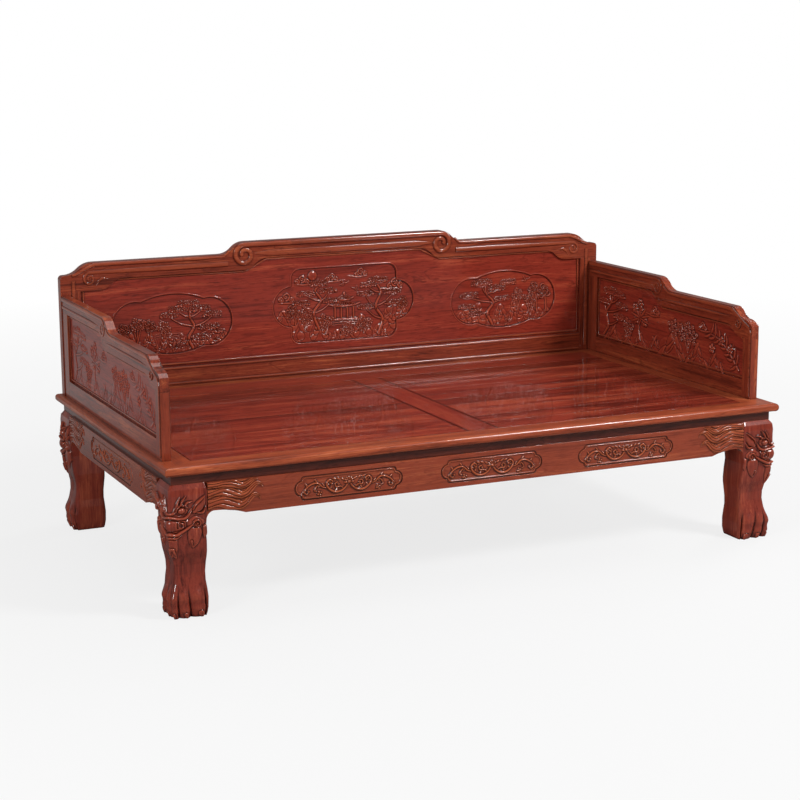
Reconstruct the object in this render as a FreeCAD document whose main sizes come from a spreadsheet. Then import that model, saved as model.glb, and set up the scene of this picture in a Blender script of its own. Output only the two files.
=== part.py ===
import FreeCAD, Part
import math
import os
import re
import Sketcher

# A luohan daybed: a waisted platform on four legs, four loose deck panels and three railings that
# stand in mortises. X runs to the right, Y to the back and Z up, and the front faces -Y. The origin
# lies on the floor under the middle of the bed.

# Driving sizes in millimetres
SIZES = (
    # Platform
    ("bed_length", 2220),
    ("bed_width", 1280),
    ("seat_height", 480),
    ("lip_thickness", 28),
    ("lip_round", 12),
    ("front_rail_width", 78),
    ("end_rail_width", 106),
    ("rear_rail_width", 106),
    ("rear_board_width", 134),
    ("centre_rail_width", 104),
    ("ledge_width", 18),
    ("seam_setback", 575),
    ("seam_bearer_width", 60),
    ("frame_tenon_length", 20),
    ("frame_tenon_thickness", 12),
    ("frame_tenon_shoulder", 8),
    # Loose deck panels
    ("deck_thickness", 22),
    ("deck_gap", 2),
    ("deck_batten_width", 50),
    ("deck_batten_height", 18),
    ("deck_batten_housing", 5),
    ("deck_batten_clearance", 5),
    ("board_groove_width", 1.4),
    ("board_groove_depth", 1.2),
    # Waist and aprons
    ("waist_height", 30),
    ("waist_inset", 24),
    ("waist_thickness", 22),
    ("tongue_thickness", 8),
    ("tongue_height", 6),
    ("apron_inset", 16),
    ("apron_thickness", 26),
    ("apron_drop", 107),
    ("apron_cusp_drop", 105),
    ("apron_end_drop", 90),
    ("apron_tenon_length", 30),
    ("apron_tenon_thickness", 12),
    ("apron_tenon_shoulder", 15),
    ("apron_field_half_length", 185),
    ("apron_side_field_half_length", 242),
    ("apron_field_height", 78),
    ("apron_field_depth", 3),
    ("apron_field_pitch", 505),
    # Legs
    ("leg_width", 120),
    ("stub_height", 10),
    ("stub_shoulder", 20),
    ("stub_tenon_width", 24),
    ("stub_tenon_height", 18),
    # Back railing
    ("back_setback", 25),
    ("back_thickness", 32),
    ("back_end_inset", 20),
    ("back_post_width", 72),
    ("crest_height", 513),
    ("shoulder_drop", 42),
    ("ear_drop", 84),
    ("crest_rail_depth", 63),
    ("shoulder_rail_depth", 62),
    ("ear_rail_depth", 59),
    ("crest_half_length", 395),
    ("crest_step_length", 97),
    ("ear_length", 124),
    ("ear_round", 14),
    ("crest_opening_half_length", 315),
    ("opening_step_length", 86),
    ("ear_opening_length", 142),
    ("back_bottom_rail_height", 70),
    ("back_batten_width", 48),
    ("back_batten_housing", 4),
    ("back_batten_pitch", 678),
    ("back_field_half_length", 228),
    ("centre_field_half_length", 287),
    ("centre_field_body_half_length", 215),
    ("field_foot_margin", 48),
    ("back_field_head_margin", 32),
    ("centre_field_head_margin", 52),
    ("field_depth", 4),
    # Side railings
    ("side_setback", 23),
    ("side_thickness", 29),
    ("side_board_thickness", 10),
    ("side_front_setback", 102),
    ("side_front_post_width", 50),
    ("side_rear_post_width", 63),
    ("side_bottom_rail_height", 62),
    ("side_high_height", 358),
    ("side_middle_drop", 44),
    ("side_low_drop", 81),
    ("side_end_drop", 100),
    ("side_high_rail_depth", 57),
    ("side_middle_rail_depth", 65),
    ("side_low_rail_depth", 65),
    ("side_upper_step_start", 513),
    ("side_upper_step_length", 107),
    ("side_lower_step_start", 53),
    ("side_lower_step_length", 65),
    ("side_upper_opening_start", 588),
    ("side_upper_opening_length", 77),
    ("side_lower_opening_start", 63),
    ("side_lower_opening_length", 95),
    # Joinery of the railings
    ("back_board_thickness", 16),
    ("groove_depth", 9),
    ("rail_tenon_length", 30),
    ("rail_tenon_thickness", 9),
    ("rail_tenon_shoulder", 16),
    ("foot_tenon_length", 18),
    ("foot_tenon_width", 34),
    ("foot_tenon_thickness", 12),
    ("running_gap", 0.3),
    ("mortise_floor_gap", 1),
    # Hanging keys between the side railings and the back railing
    ("key_level", 120),
    ("key_height", 60),
    ("key_depth", 12),
    ("key_root", 20),
    ("key_neck", 9),
    ("key_back", 15),
    ("lift_travel", 70),
)
NAMES = {alias for alias, _ in SIZES}

# Counts and shares
DECK_BOARDS = 5
DECK_BATTEN_SHARES = (0.12, 0.5, 0.88)
QUARTER_ROUND_SHARE = math.tan(math.pi / 8) / 2
SWEEP_SHARE = 0.1
STEEP_SWEEP_SHARE = 0.15
APRON_SHARES = (0.866, 0.88, 0.969)
APRON_SIDE_SHARES = (0.742, 0.766, 0.94)
APRON_LOBE_SHARE = 0.08
APRON_ARCH_SHARE = 0.04
FIELD_END_SHARES = (0.82, 0.54)
FIELD_STEP_SHARE = 0.64
END_FIELD_CUSP_SHARES = (0.52, 0.79)
END_FIELD_LOBE_SHARE = 0.245
END_FIELD_CROWN_SHARE = 0.098
CENTRE_FIELD_CORNER_SHARE = 0.26
CENTRE_FIELD_LOBE_HEIGHT_SHARE = 0.55
CENTRE_FIELD_LOBE_SHARE = 0.198
LEG_ROUND_SHARE = 0.13
# Height, outer face set back and inner face set back, from the foot up
LEG_SECTION_SHARES = (
    (0.0, 0.07, 0.06),
    (0.06, 0.025, 0.03),
    (0.14, 0.015, 0.01),
    (0.2, 0.075, 0.03),
    (0.26, 0.2, 0.03),
    (0.33, 0.24, 0.0),
    (0.4, 0.19, -0.04),
    (0.47, 0.09, -0.06),
    (0.55, 0.02, -0.04),
    (0.65, -0.01, 0.0),
    (0.8, -0.015, 0.0),
    (0.93, -0.01, 0.0),
    (1.0, 0.0, 0.0),
)

doc = FreeCAD.newDocument("LuohanDaybed")
sheet = doc.addObject("Spreadsheet::Sheet", "Sizes")
nodes = []


def fill_sheet():
    for row, (alias, size) in enumerate(SIZES, 1):
        sheet.set(f"A{row}", alias.replace("_", " "))
        sheet.set(f"B{row}", str(size))
        sheet.setAlias(f"B{row}", alias)
    doc.recompute()


def bind(words):
    """The expression with the sheet's name before each of its sizes."""
    return re.sub(r"[a-z]\w*", lambda word: f"Sizes.{word[0]}" if word[0] in NAMES else word[0], words)


def value(words):
    return float(sheet.evalExpression(bind(words)))


def minus(words):
    return f"-({words})"


def node(label, shape):
    """Gives a finished sub-part its own name and lists it for the export."""
    shape.Label = label
    nodes.append(shape)
    return shape


def box(name, across, deep, up):
    """A block between three pairs of low and high places."""
    solid = doc.addObject("Part::Box", name)
    for side, axis, (low, high) in zip(("Length", "Width", "Height"), "xyz", (across, deep, up)):
        solid.setExpression(side, bind(f"({high}) - ({low})"))
        solid.setExpression(f"Placement.Base.{axis}", bind(low))
    return solid


def fused(name, *solids):
    joined = doc.addObject("Part::MultiFuse", name)
    joined.Shapes = solids
    return joined


def cut(name, base, *tools):
    result = doc.addObject("Part::Cut", name)
    result.Base = base
    result.Tool = tools[0] if len(tools) == 1 else fused(f"{name}_tools", *tools)
    return result


def mirrored(name, source, normal):
    copy = doc.addObject("Part::Mirroring", name)
    copy.Source = source
    copy.Normal = normal
    return copy


def arc_edge(start, end, bulge):
    """A round from start to end, anticlockwise where the bulge share is positive."""
    chord = end - start
    radius = chord.Length * (1 / (8 * abs(bulge)) + abs(bulge) / 2)
    left = FreeCAD.Vector(-chord.y, chord.x, 0).normalize() * math.copysign(1, bulge)
    centre = (start + end) / 2 + left * (radius - abs(bulge) * chord.Length)
    first, last = (start, end) if bulge > 0 else (end, start)
    angles = [math.atan2(point.y - centre.y, point.x - centre.x) for point in (first, last)]
    return Part.ArcOfCircle(Part.Circle(centre, FreeCAD.Vector(0, 0, 1), radius), *angles)


def draw(sketch, outline):
    """Closed outline of (across, up) corners, each with the bulge share of the edge that follows."""
    corners = [FreeCAD.Vector(value(point[0]), value(point[1]), 0) for point in outline]
    heads, tails = [], []
    for index, point in enumerate(outline):
        start, end = corners[index], corners[(index + 1) % len(corners)]
        bulge = point[2] if len(point) > 2 else 0
        edge = arc_edge(start, end, bulge) if bulge else Part.LineSegment(start, end)
        sketch.addGeometry(edge, False)
        heads.append((index, 2 if bulge < 0 else 1))
        tails.append((index, 1 if bulge < 0 else 2))
    for index, point in enumerate(outline):
        sketch.addConstraint(Sketcher.Constraint("Coincident", *tails[index - 1], *heads[index]))
        for kind, words in (("DistanceX", point[0]), ("DistanceY", point[1])):
            place = Sketcher.Constraint(kind, -1, 1, *heads[index], value(words))
            sketch.setExpression(f"Constraints[{sketch.addConstraint(place)}]", bind(words))
    for index, point in enumerate(outline):
        if len(point) > 2:
            after = outline[(index + 1) % len(outline)]
            share = 1 / (8 * abs(point[2])) + abs(point[2]) / 2
            run = f"({after[0]} - ({point[0]}))^2 + ({after[1]} - ({point[1]}))^2"
            words = f"sqrt({run}) * {share}"
            round_edge = Sketcher.Constraint("Radius", index, value(words))
            sketch.setExpression(f"Constraints[{sketch.addConstraint(round_edge)}]", bind(words))


def plane_sketch(body, name, plane, offset, outline):
    sketch = body.newObject("Sketcher::SketchObject", name)
    origin_plane = next(f for f in body.Origin.OriginFeatures if f.Role == f"{plane}_Plane")
    sketch.AttachmentSupport = [(origin_plane, "")]
    sketch.MapMode = "FlatFace"
    sketch.setExpression("AttachmentOffset.Base.z", bind(offset))
    draw(sketch, outline)
    return sketch


def prism(name, plane, low, high, outline):
    """A body padded from one outline between two places along the plane's normal axis."""
    body = doc.addObject("PartDesign::Body", name)
    offset = minus(high) if plane == "XZ" else low
    pad = body.newObject("PartDesign::Pad", f"{name}_pad")
    pad.Profile = plane_sketch(body, f"{name}_outline", plane, offset, outline)
    pad.setExpression("Length", bind(f"({high}) - ({low})"))
    body.Tip = pad
    return body


def both_halves(right):
    """A closed outline about the middle from its right half, bottom first. The bulge of the last
    corner crosses the top, and the bottom edge has the same."""
    left = []
    for index in reversed(range(len(right))):
        left.append((minus(right[index][0]), right[index][1], *right[index - 1][2:]))
    return list(right) + left


def sweep(start, end, share):
    """The first two corners of a level curve that eases up or down from start to end."""
    middle = tuple(f"(({a}) + ({b})) / 2" for a, b in zip(start, end))
    return [(*start, share), (*middle, -share)]


# Levels and faces worked out from the sizes
HALF_LENGTH = "bed_length / 2"
HALF_WIDTH = "bed_width / 2"
LIP_BOTTOM = "(seat_height - lip_thickness)"
WAIST_BOTTOM = "(seat_height - lip_thickness - waist_height)"
RAIL_BOTTOM = f"({WAIST_BOTTOM} + stub_height)"
LEDGE_TOP = "(seat_height - deck_thickness)"
DEEP_INSET = "(waist_inset + waist_thickness)"
END_INNER = f"({HALF_LENGTH} - end_rail_width)"
FRONT_INNER = f"(front_rail_width - {HALF_WIDTH})"
REAR_INNER = f"({HALF_WIDTH} - rear_rail_width)"
REAR_BOARD_FRONT = f"({REAR_INNER} - rear_board_width)"
SEAM = f"(seam_setback - {HALF_WIDTH})"
CENTRE_SIDE = "centre_rail_width / 2"
FRAME_TENON_BOTTOM = f"({RAIL_BOTTOM} + frame_tenon_shoulder)"
FRAME_TENON = (FRAME_TENON_BOTTOM, f"{FRAME_TENON_BOTTOM} + frame_tenon_thickness")
LEG_OUTER = f"({HALF_LENGTH} - apron_inset)"
LEG_INNER = f"({LEG_OUTER} - leg_width)"
LEG_FACE = f"({HALF_WIDTH} - apron_inset)"
LEG_BACK = f"({LEG_FACE} - leg_width)"


def span(middle, width):
    return (f"{middle} - ({width}) / 2", f"{middle} + ({width}) / 2")


def rounded_lip(body, faces):
    """Rounds the top and bottom edge of the lip on its outer face."""
    doc.recompute()
    pad = body.Tip
    edges = []
    for index, edge in enumerate(pad.Shape.Edges, 1):
        bounds = edge.BoundBox
        level = bounds.ZLength < Part.Precision.approximation()
        if level and faces(bounds):
            edges.append(f"Edge{index}")
    lip = body.newObject("PartDesign::Fillet", f"{body.Name}_round")
    lip.Base = (pad, edges)
    lip.setExpression("Radius", bind("lip_round"))
    body.Tip = lip
    return body


def near(first, second):
    return abs(first - second) < Part.Precision.approximation()


def long_rail(name, outer, inner):
    """A front or rear frame rail: mitred lip, deep back and the ledge that carries the deck."""
    lip = prism(f"{name}_lip", "XY", LIP_BOTTOM, "seat_height",
                both_halves([(HALF_LENGTH, outer), (END_INNER, inner)]))
    face = value(outer)
    rounded_lip(lip, lambda bounds: near(bounds.YMin, face) and near(bounds.YMax, face))
    deep_x = f"({HALF_LENGTH} - {DEEP_INSET})"
    if face < 0:
        deep = (f"{outer} + {DEEP_INSET}", inner)
        ledge = (inner, f"{inner} + ledge_width")
    else:
        deep = (inner, f"{outer} - {DEEP_INSET}")
        ledge = (f"{inner} - ledge_width", inner)
    back = box(f"{name}_deep", (minus(deep_x), deep_x), deep, (RAIL_BOTTOM, LIP_BOTTOM))
    step = box(f"{name}_ledge", (minus(END_INNER), END_INNER), ledge, (RAIL_BOTTOM, LEDGE_TOP))
    return fused(f"{name}_blank", lip, back, step)


def end_rail(name):
    """The right frame rail, with tenons on its deep back that enter the long rails."""
    lip = prism(
        f"{name}_lip", "XY", LIP_BOTTOM, "seat_height",
        [
            (HALF_LENGTH, minus(HALF_WIDTH)),
            (HALF_LENGTH, HALF_WIDTH),
            (END_INNER, REAR_INNER),
            (END_INNER, FRONT_INNER),
        ],
    )
    face = value(HALF_LENGTH)
    rounded_lip(lip, lambda bounds: near(bounds.XMin, face) and near(bounds.XMax, face))
    deep_x = f"({HALF_LENGTH} - {DEEP_INSET})"
    ledge_x = f"{END_INNER} - ledge_width"
    back = box(f"{name}_deep", (END_INNER, deep_x), (FRONT_INNER, REAR_INNER),
               (RAIL_BOTTOM, LIP_BOTTOM))
    step = box(f"{name}_ledge", (ledge_x, END_INNER),
               (f"{FRONT_INNER} + ledge_width", f"{REAR_INNER} - ledge_width"),
               (RAIL_BOTTOM, LEDGE_TOP))
    tenon = box(
        f"{name}_tenons",
        span(f"({END_INNER} + {deep_x}) / 2", f"({deep_x} - {END_INNER}) / 2"),
        (f"{FRONT_INNER} - frame_tenon_length", f"{REAR_INNER} + frame_tenon_length"),
        FRAME_TENON,
    )
    return fused(f"{name}_blank", lip, back, step, tenon)


def centre_rail():
    """The stretcher from front to back between the left and right deck panels."""
    under = f"({CENTRE_SIDE} + ledge_width)"
    under_y = (f"{FRONT_INNER} + ledge_width", f"{REAR_BOARD_FRONT} - ledge_width")
    top = box("centre_rail_top", (minus(CENTRE_SIDE), CENTRE_SIDE), (FRONT_INNER, REAR_BOARD_FRONT),
              (LEDGE_TOP, "seat_height"))
    low = box("centre_rail_under", (minus(under), under), under_y, (RAIL_BOTTOM, LEDGE_TOP))
    tenon = box(
        "centre_rail_tenons",
        span("0", "centre_rail_width / 2"),
        (f"{under_y[0]} - frame_tenon_length", f"{under_y[1]} + frame_tenon_length"),
        FRAME_TENON,
    )
    return fused("centre_rail_blank", top, low, tenon)


def rear_board():
    """The fixed plank between the loose panels and the rear rail."""
    under_x = f"({END_INNER} - ledge_width)"
    top = box("rear_board_top", (minus(END_INNER), END_INNER), (REAR_BOARD_FRONT, REAR_INNER),
              (LEDGE_TOP, "seat_height"))
    low = box("rear_board_under", (minus(under_x), under_x),
              (f"{REAR_BOARD_FRONT} - ledge_width", f"{REAR_INNER} - ledge_width"),
              (RAIL_BOTTOM, LEDGE_TOP))
    return fused("rear_board_blank", top, low)


def seam_bearer():
    """The right bearer under the seam between the front and rear deck panels."""
    start = f"{CENTRE_SIDE} + ledge_width"
    end = f"{END_INNER} - ledge_width"
    bar = box("seam_bearer_bar", (start, end), span(SEAM, "seam_bearer_width"), (RAIL_BOTTOM, LEDGE_TOP))
    tenon = box(
        "seam_bearer_tenons",
        (f"{start} - frame_tenon_length", f"{end} + frame_tenon_length"),
        span(SEAM, "seam_bearer_width / 2"),
        FRAME_TENON,
    )
    return fused("seam_bearer_blank", bar, tenon)


def waist_tongue(name, across, deep):
    return box(name, across, deep, (f"{WAIST_BOTTOM} - tongue_height", f"{LIP_BOTTOM} + tongue_height"))


def waist_long(name, side):
    """A waist board of the front (side -1) or rear (side 1), mitred, tongued into lip and apron."""
    outer_x, inner_x = (f"({HALF_LENGTH} - {inset})" for inset in ("waist_inset", DEEP_INSET))
    outer_y, inner_y = (f"{side} * ({HALF_WIDTH} - {inset})" for inset in ("waist_inset", DEEP_INSET))
    board = prism(f"{name}_board", "XY", WAIST_BOTTOM, LIP_BOTTOM,
                  both_halves([(outer_x, outer_y), (inner_x, inner_y)]))
    tongue = waist_tongue(f"{name}_tongue", (minus(LEG_INNER), LEG_INNER),
                          span(f"({outer_y} + {inner_y}) / 2", "tongue_thickness"))
    return fused(name, board, tongue)


def waist_end(name):
    """The waist board of the right end."""
    outer_x, inner_x = (f"({HALF_LENGTH} - {inset})" for inset in ("waist_inset", DEEP_INSET))
    outer_y, inner_y = (f"({HALF_WIDTH} - {inset})" for inset in ("waist_inset", DEEP_INSET))
    board = prism(
        f"{name}_board", "XY", WAIST_BOTTOM, LIP_BOTTOM,
        [
            (outer_x, minus(outer_y)),
            (outer_x, outer_y),
            (inner_x, inner_y),
            (inner_x, minus(inner_y)),
        ],
    )
    tongue = waist_tongue(f"{name}_tongue", span(f"({outer_x} + {inner_x}) / 2", "tongue_thickness"),
                          (minus(LEG_BACK), LEG_BACK))
    return fused(name, board, tongue)


def apron_outline(half, shares):
    lobe_end, cusp, arch_end = (f"{half} * {share}" for share in shares)
    drops = ("apron_drop", "apron_cusp_drop", "apron_end_drop")
    low, cusp_level, high = (f"{WAIST_BOTTOM} - {drop}" for drop in drops)
    return both_halves([
        (lobe_end, low, APRON_LOBE_SHARE),
        (cusp, cusp_level, -APRON_ARCH_SHARE),
        (arch_end, high),
        (half, high),
        (half, WAIST_BOTTOM),
    ])


def apron_tenon_levels():
    return (f"{WAIST_BOTTOM} - apron_end_drop + apron_tenon_shoulder",
            f"{WAIST_BOTTOM} - apron_tenon_shoulder")


def indented_field(half_length, middle):
    """A long panel outline with stepped round ends, about its middle place on the apron."""
    half = "apron_field_height / 2"
    level = f"({WAIST_BOTTOM} - apron_drop / 2)"
    neck, step = (f"({half_length} - {half} * {share})" for share in FIELD_END_SHARES)
    right = [
        (neck, minus(half), QUARTER_ROUND_SHARE),
        (step, f"-({half}) * {FIELD_STEP_SHARE}", QUARTER_ROUND_SHARE),
        (half_length, "0", QUARTER_ROUND_SHARE),
        (step, f"{half} * {FIELD_STEP_SHARE}", QUARTER_ROUND_SHARE),
        (neck, half),
    ]
    return [(f"{middle} + ({x})", f"{level} + ({z})", *bulge) for x, z, *bulge in both_halves(right)]


def apron_long(name, low, high):
    """A front or rear apron between two depths, with its end tenons."""
    board = prism(f"{name}_board", "XZ", low, high, apron_outline(LEG_INNER, APRON_SHARES))
    tenon = box(
        f"{name}_tenons",
        (f"-({LEG_INNER} + apron_tenon_length)", f"{LEG_INNER} + apron_tenon_length"),
        span(f"({low} + {high}) / 2", "apron_tenon_thickness"),
        apron_tenon_levels(),
    )
    return fused(f"{name}_blank", board, tenon)


def apron_end(name):
    """The apron of the right end with its tenons."""
    low, high = f"({LEG_OUTER} - apron_thickness)", LEG_OUTER
    board = prism(f"{name}_board", "YZ", low, high, apron_outline(LEG_BACK, APRON_SIDE_SHARES))
    tenon = box(
        f"{name}_tenons",
        span(f"({low} + {high}) / 2", "apron_tenon_thickness"),
        (f"-({LEG_BACK} + apron_tenon_length)", f"{LEG_BACK} + apron_tenon_length"),
        apron_tenon_levels(),
    )
    return fused(f"{name}_blank", board, tenon)


def apron_fields(name):
    """Tools that sink the three fields of the front apron and the long one of the right end."""
    front = [
        prism(f"{name}_{index}", "XZ", minus(LEG_FACE), f"apron_field_depth - {LEG_FACE}",
              indented_field("apron_field_half_length", f"{index} * apron_field_pitch"))
        for index in (-1, 0, 1)
    ]
    end = prism(f"{name}_end", "YZ", f"{LEG_OUTER} - apron_field_depth", LEG_OUTER,
                indented_field("apron_side_field_half_length", "0"))
    return front, end


def leg():
    """The front right leg: swelling knee, ankle and paw, with the stub that rises behind the waist."""
    body = doc.addObject("PartDesign::Body", "leg_shaft")
    sections = []
    for index, (height, outer, inner) in enumerate(LEG_SECTION_SHARES):
        x_low, x_high = f"{LEG_INNER} + leg_width * {inner}", f"{LEG_OUTER} - leg_width * {outer}"
        y_low, y_high = f"leg_width * {outer} - {LEG_FACE}", f"-({LEG_BACK} + leg_width * {inner})"
        corner = f"leg_width * {LEG_ROUND_SHARE}"
        outline = [
            (f"{x_low} + {corner}", y_low),
            (f"{x_high} - {corner}", y_low, QUARTER_ROUND_SHARE),
            (x_high, f"{y_low} + {corner}"),
            (x_high, f"{y_high} - {corner}", QUARTER_ROUND_SHARE),
            (f"{x_high} - {corner}", y_high),
            (f"{x_low} + {corner}", y_high, QUARTER_ROUND_SHARE),
            (x_low, f"{y_high} - {corner}"),
            (x_low, f"{y_low} + {corner}", QUARTER_ROUND_SHARE),
        ]
        level = f"{WAIST_BOTTOM} * {height}"
        sections.append(plane_sketch(body, f"leg_section_{index}", "XY", level, outline))
    loft = body.newObject("PartDesign::AdditiveLoft", "leg_loft")
    loft.Profile = sections[0]
    loft.Sections = sections[1:]
    body.Tip = loft
    stub_x = (f"{LEG_INNER} + stub_shoulder", f"{HALF_LENGTH} - {DEEP_INSET}")
    stub_y = (f"{DEEP_INSET} - {HALF_WIDTH}", f"-({LEG_BACK} + stub_shoulder)")
    stub = box("leg_stub", stub_x, stub_y, (WAIST_BOTTOM, RAIL_BOTTOM))
    across, deep = (span(f"({low} + {high}) / 2", "stub_tenon_width") for low, high in (stub_x, stub_y))
    tenon = box("leg_tenon", across, deep, (RAIL_BOTTOM, f"{RAIL_BOTTOM} + stub_tenon_height"))
    return fused("leg_blank", body, stub, tenon), tenon


def deck_panel(name, y_low, y_high, batten_low, batten_high):
    """Boards and battens of a loose panel on the right."""
    x_low, x_high = f"({CENTRE_SIDE} + deck_gap)", f"({END_INNER} - deck_gap)"
    battens = [
        box(f"{name}_batten_{index}", span(f"({x_low} + ({x_high} - {x_low}) * {share})",
                                           "deck_batten_width"),
            (batten_low, batten_high),
            (f"{LEDGE_TOP} - deck_batten_height", f"{LEDGE_TOP} + deck_batten_housing"))
        for index, share in enumerate(DECK_BATTEN_SHARES)
    ]
    seams = [
        box(f"{name}_seam_{index}", (x_low, x_high),
            span(f"({y_low} + ({y_high} - ({y_low})) * {index / DECK_BOARDS})", "board_groove_width"),
            ("seat_height - board_groove_depth", "seat_height"))
        for index in range(1, DECK_BOARDS)
    ]
    slab = box(f"{name}_slab", (x_low, x_high), (y_low, y_high), (LEDGE_TOP, "seat_height"))
    group = fused(f"deck_battens_{name}_right", *battens)
    return cut(f"deck_boards_{name}_right", slab, group, *seams), group


# Faces of the railings
BACK_REAR = f"({HALF_WIDTH} - back_setback)"
BACK_FRONT = f"({BACK_REAR} - back_thickness)"
BACK_MIDDLE = f"({BACK_REAR} - back_thickness / 2)"
BACK_END = f"({HALF_LENGTH} - back_end_inset)"
POST_INNER = f"({BACK_END} - back_post_width)"
BOARD_FACES = span(BACK_MIDDLE, "back_board_thickness")
SIDE_OUTER = f"({HALF_LENGTH} - side_setback)"
SIDE_INNER = f"({SIDE_OUTER} - side_thickness)"
SIDE_MIDDLE = f"({SIDE_OUTER} - side_thickness / 2)"
SIDE_FRONT = f"(side_front_setback - {HALF_WIDTH})"
SIDE_FRONT_INNER = f"({SIDE_FRONT} + side_front_post_width)"
SIDE_REAR_INNER = f"({BACK_FRONT} - side_rear_post_width)"

# Levels of the railings
CREST = "(seat_height + crest_height)"
SHOULDER = f"({CREST} - shoulder_drop)"
EAR = f"({CREST} - ear_drop)"
CREST_OPENING = f"({CREST} - crest_rail_depth)"
SHOULDER_OPENING = f"({SHOULDER} - shoulder_rail_depth)"
EAR_OPENING = f"({EAR} - ear_rail_depth)"
BACK_RAIL_TOP = "(seat_height + back_bottom_rail_height)"
SIDE_HIGH = "(seat_height + side_high_height)"
SIDE_MIDDLE_LEVEL = f"({SIDE_HIGH} - side_middle_drop)"
SIDE_LOW = f"({SIDE_HIGH} - side_low_drop)"
SIDE_END = f"({SIDE_HIGH} - side_end_drop)"
SIDE_HIGH_OPENING = f"({SIDE_HIGH} - side_high_rail_depth)"
SIDE_MIDDLE_OPENING = f"({SIDE_MIDDLE_LEVEL} - side_middle_rail_depth)"
SIDE_LOW_OPENING = f"({SIDE_LOW} - side_low_rail_depth)"
SIDE_RAIL_TOP = "(seat_height + side_bottom_rail_height)"
KEY_BOTTOM = "(seat_height + key_level)"
KEY_TOP = f"({KEY_BOTTOM} + key_height)"


def along_side(run):
    return f"({SIDE_FRONT} + {run})"


def back_opening(rise):
    """Right half of the opening's upper edge, from the middle out, lifted by a rise."""
    high, middle, low = (f"{level} + {rise}" for level in (CREST_OPENING, SHOULDER_OPENING, EAR_OPENING))
    start = "crest_opening_half_length"
    end = f"({start} + opening_step_length)"
    ear_end = f"({BACK_END} - ear_opening_length)"
    ear_start = f"({ear_end} - opening_step_length)"
    return [
        *sweep((start, high), (end, middle), -SWEEP_SHARE),
        (end, middle),
        *sweep((ear_start, middle), (ear_end, low), -SWEEP_SHARE),
        (ear_end, low),
    ]


def reversed_run(points):
    """The same run of corners travelled the other way."""
    turned = []
    for index in reversed(range(len(points))):
        bulge = tuple(-share for share in points[index - 1][2:]) if index else ()
        turned.append((*points[index][:2], *bulge))
    return turned


def back_top_rail():
    """The crest rail with its raised middle, its drooping ears and the stepped opening below."""
    step_end = "(crest_half_length + crest_step_length)"
    ear_start = f"({BACK_END} - ear_length)"
    crest_end = [*sweep(("crest_half_length", CREST), (step_end, SHOULDER), -SWEEP_SHARE),
                 (step_end, SHOULDER)]
    right = [
        *back_opening("0"),
        (BACK_END, EAR_OPENING),
        (BACK_END, f"{EAR} - ear_round", QUARTER_ROUND_SHARE),
        (f"{BACK_END} - ear_round", EAR, -SWEEP_SHARE),
        (f"({BACK_END} - ear_round + {ear_start}) / 2", f"({EAR} + {SHOULDER}) / 2", SWEEP_SHARE),
        (ear_start, SHOULDER),
        *reversed_run(crest_end),
    ]
    return prism("back_top_rail_blank", "XZ", BACK_FRONT, BACK_REAR, both_halves(right))


def back_board():
    """The floating panel in the grooves of the back frame."""
    side = f"({POST_INNER} + groove_depth)"
    top = back_opening("groove_depth")
    right = [(side, f"{BACK_RAIL_TOP} - groove_depth"),
             (side, top[-1][1]), *reversed_run(top)]
    return prism("back_board_blank", "XZ", *BOARD_FACES, both_halves(right))


def lobed_field(name, middle, level, right):
    """A tool that sinks one carved field in the back panel, from the right half of its outline."""
    face = BOARD_FACES[0]
    outline = [(f"{middle} + ({x})", f"{level} + ({z})", *bulge) for x, z, *bulge in both_halves(right)]
    return prism(name, "XZ", face, f"{face} + field_depth", outline)


def back_fields():
    """Tools for the three carved fields on the front of the back panel."""
    foot = f"({BACK_RAIL_TOP} + field_foot_margin)"
    half, head = "back_field_half_length", f"({EAR_OPENING} - back_field_head_margin)"
    level, tall = f"({foot} + {head}) / 2", f"(({head} - {foot}) / 2)"
    cusp_x, cusp_z = (f"{size} * {share}" for size, share in zip((half, tall), END_FIELD_CUSP_SHARES))
    lobes = [
        (cusp_x, minus(cusp_z), END_FIELD_LOBE_SHARE),
        (half, "0", END_FIELD_LOBE_SHARE),
        (cusp_x, cusp_z, END_FIELD_CROWN_SHARE),
    ]
    fields = [
        lobed_field(f"back_field_{name}", place, level, lobes)
        for name, place in (("left", minus("back_batten_pitch")), ("right", "back_batten_pitch"))
    ]
    body, wide = "centre_field_body_half_length", "centre_field_half_length"
    head = f"({CREST_OPENING} - centre_field_head_margin)"
    level, tall = f"({foot} + {head}) / 2", f"(({head} - {foot}) / 2)"
    corner = f"{tall} * {CENTRE_FIELD_CORNER_SHARE}"
    lobe = f"{tall} * {CENTRE_FIELD_LOBE_HEIGHT_SHARE}"
    right = [
        (f"{body} - {corner}", f"-{tall}", QUARTER_ROUND_SHARE),
        (body, f"{corner} - {tall}"),
        (body, minus(lobe), CENTRE_FIELD_LOBE_SHARE),
        (wide, "0", CENTRE_FIELD_LOBE_SHARE),
        (body, lobe),
        (body, f"{tall} - {corner}", QUARTER_ROUND_SHARE),
        (f"{body} - {corner}", tall),
    ]
    return [*fields, lobed_field("centre_field", "0", level, right)]


def foot_tenon(name, across, deep):
    return box(name, across, deep, ("seat_height - foot_tenon_length", "seat_height"))


def mortise(name, across, deep):
    """The hole in a frame rail for a foot tenon, with a running gap all round."""
    wide = tuple(f"{place} {sign} running_gap" for place, sign in zip(across, "-+"))
    long = tuple(f"{place} {sign} running_gap" for place, sign in zip(deep, "-+"))
    return box(name, wide, long, ("seat_height - foot_tenon_length - mortise_floor_gap", "seat_height"))


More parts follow.
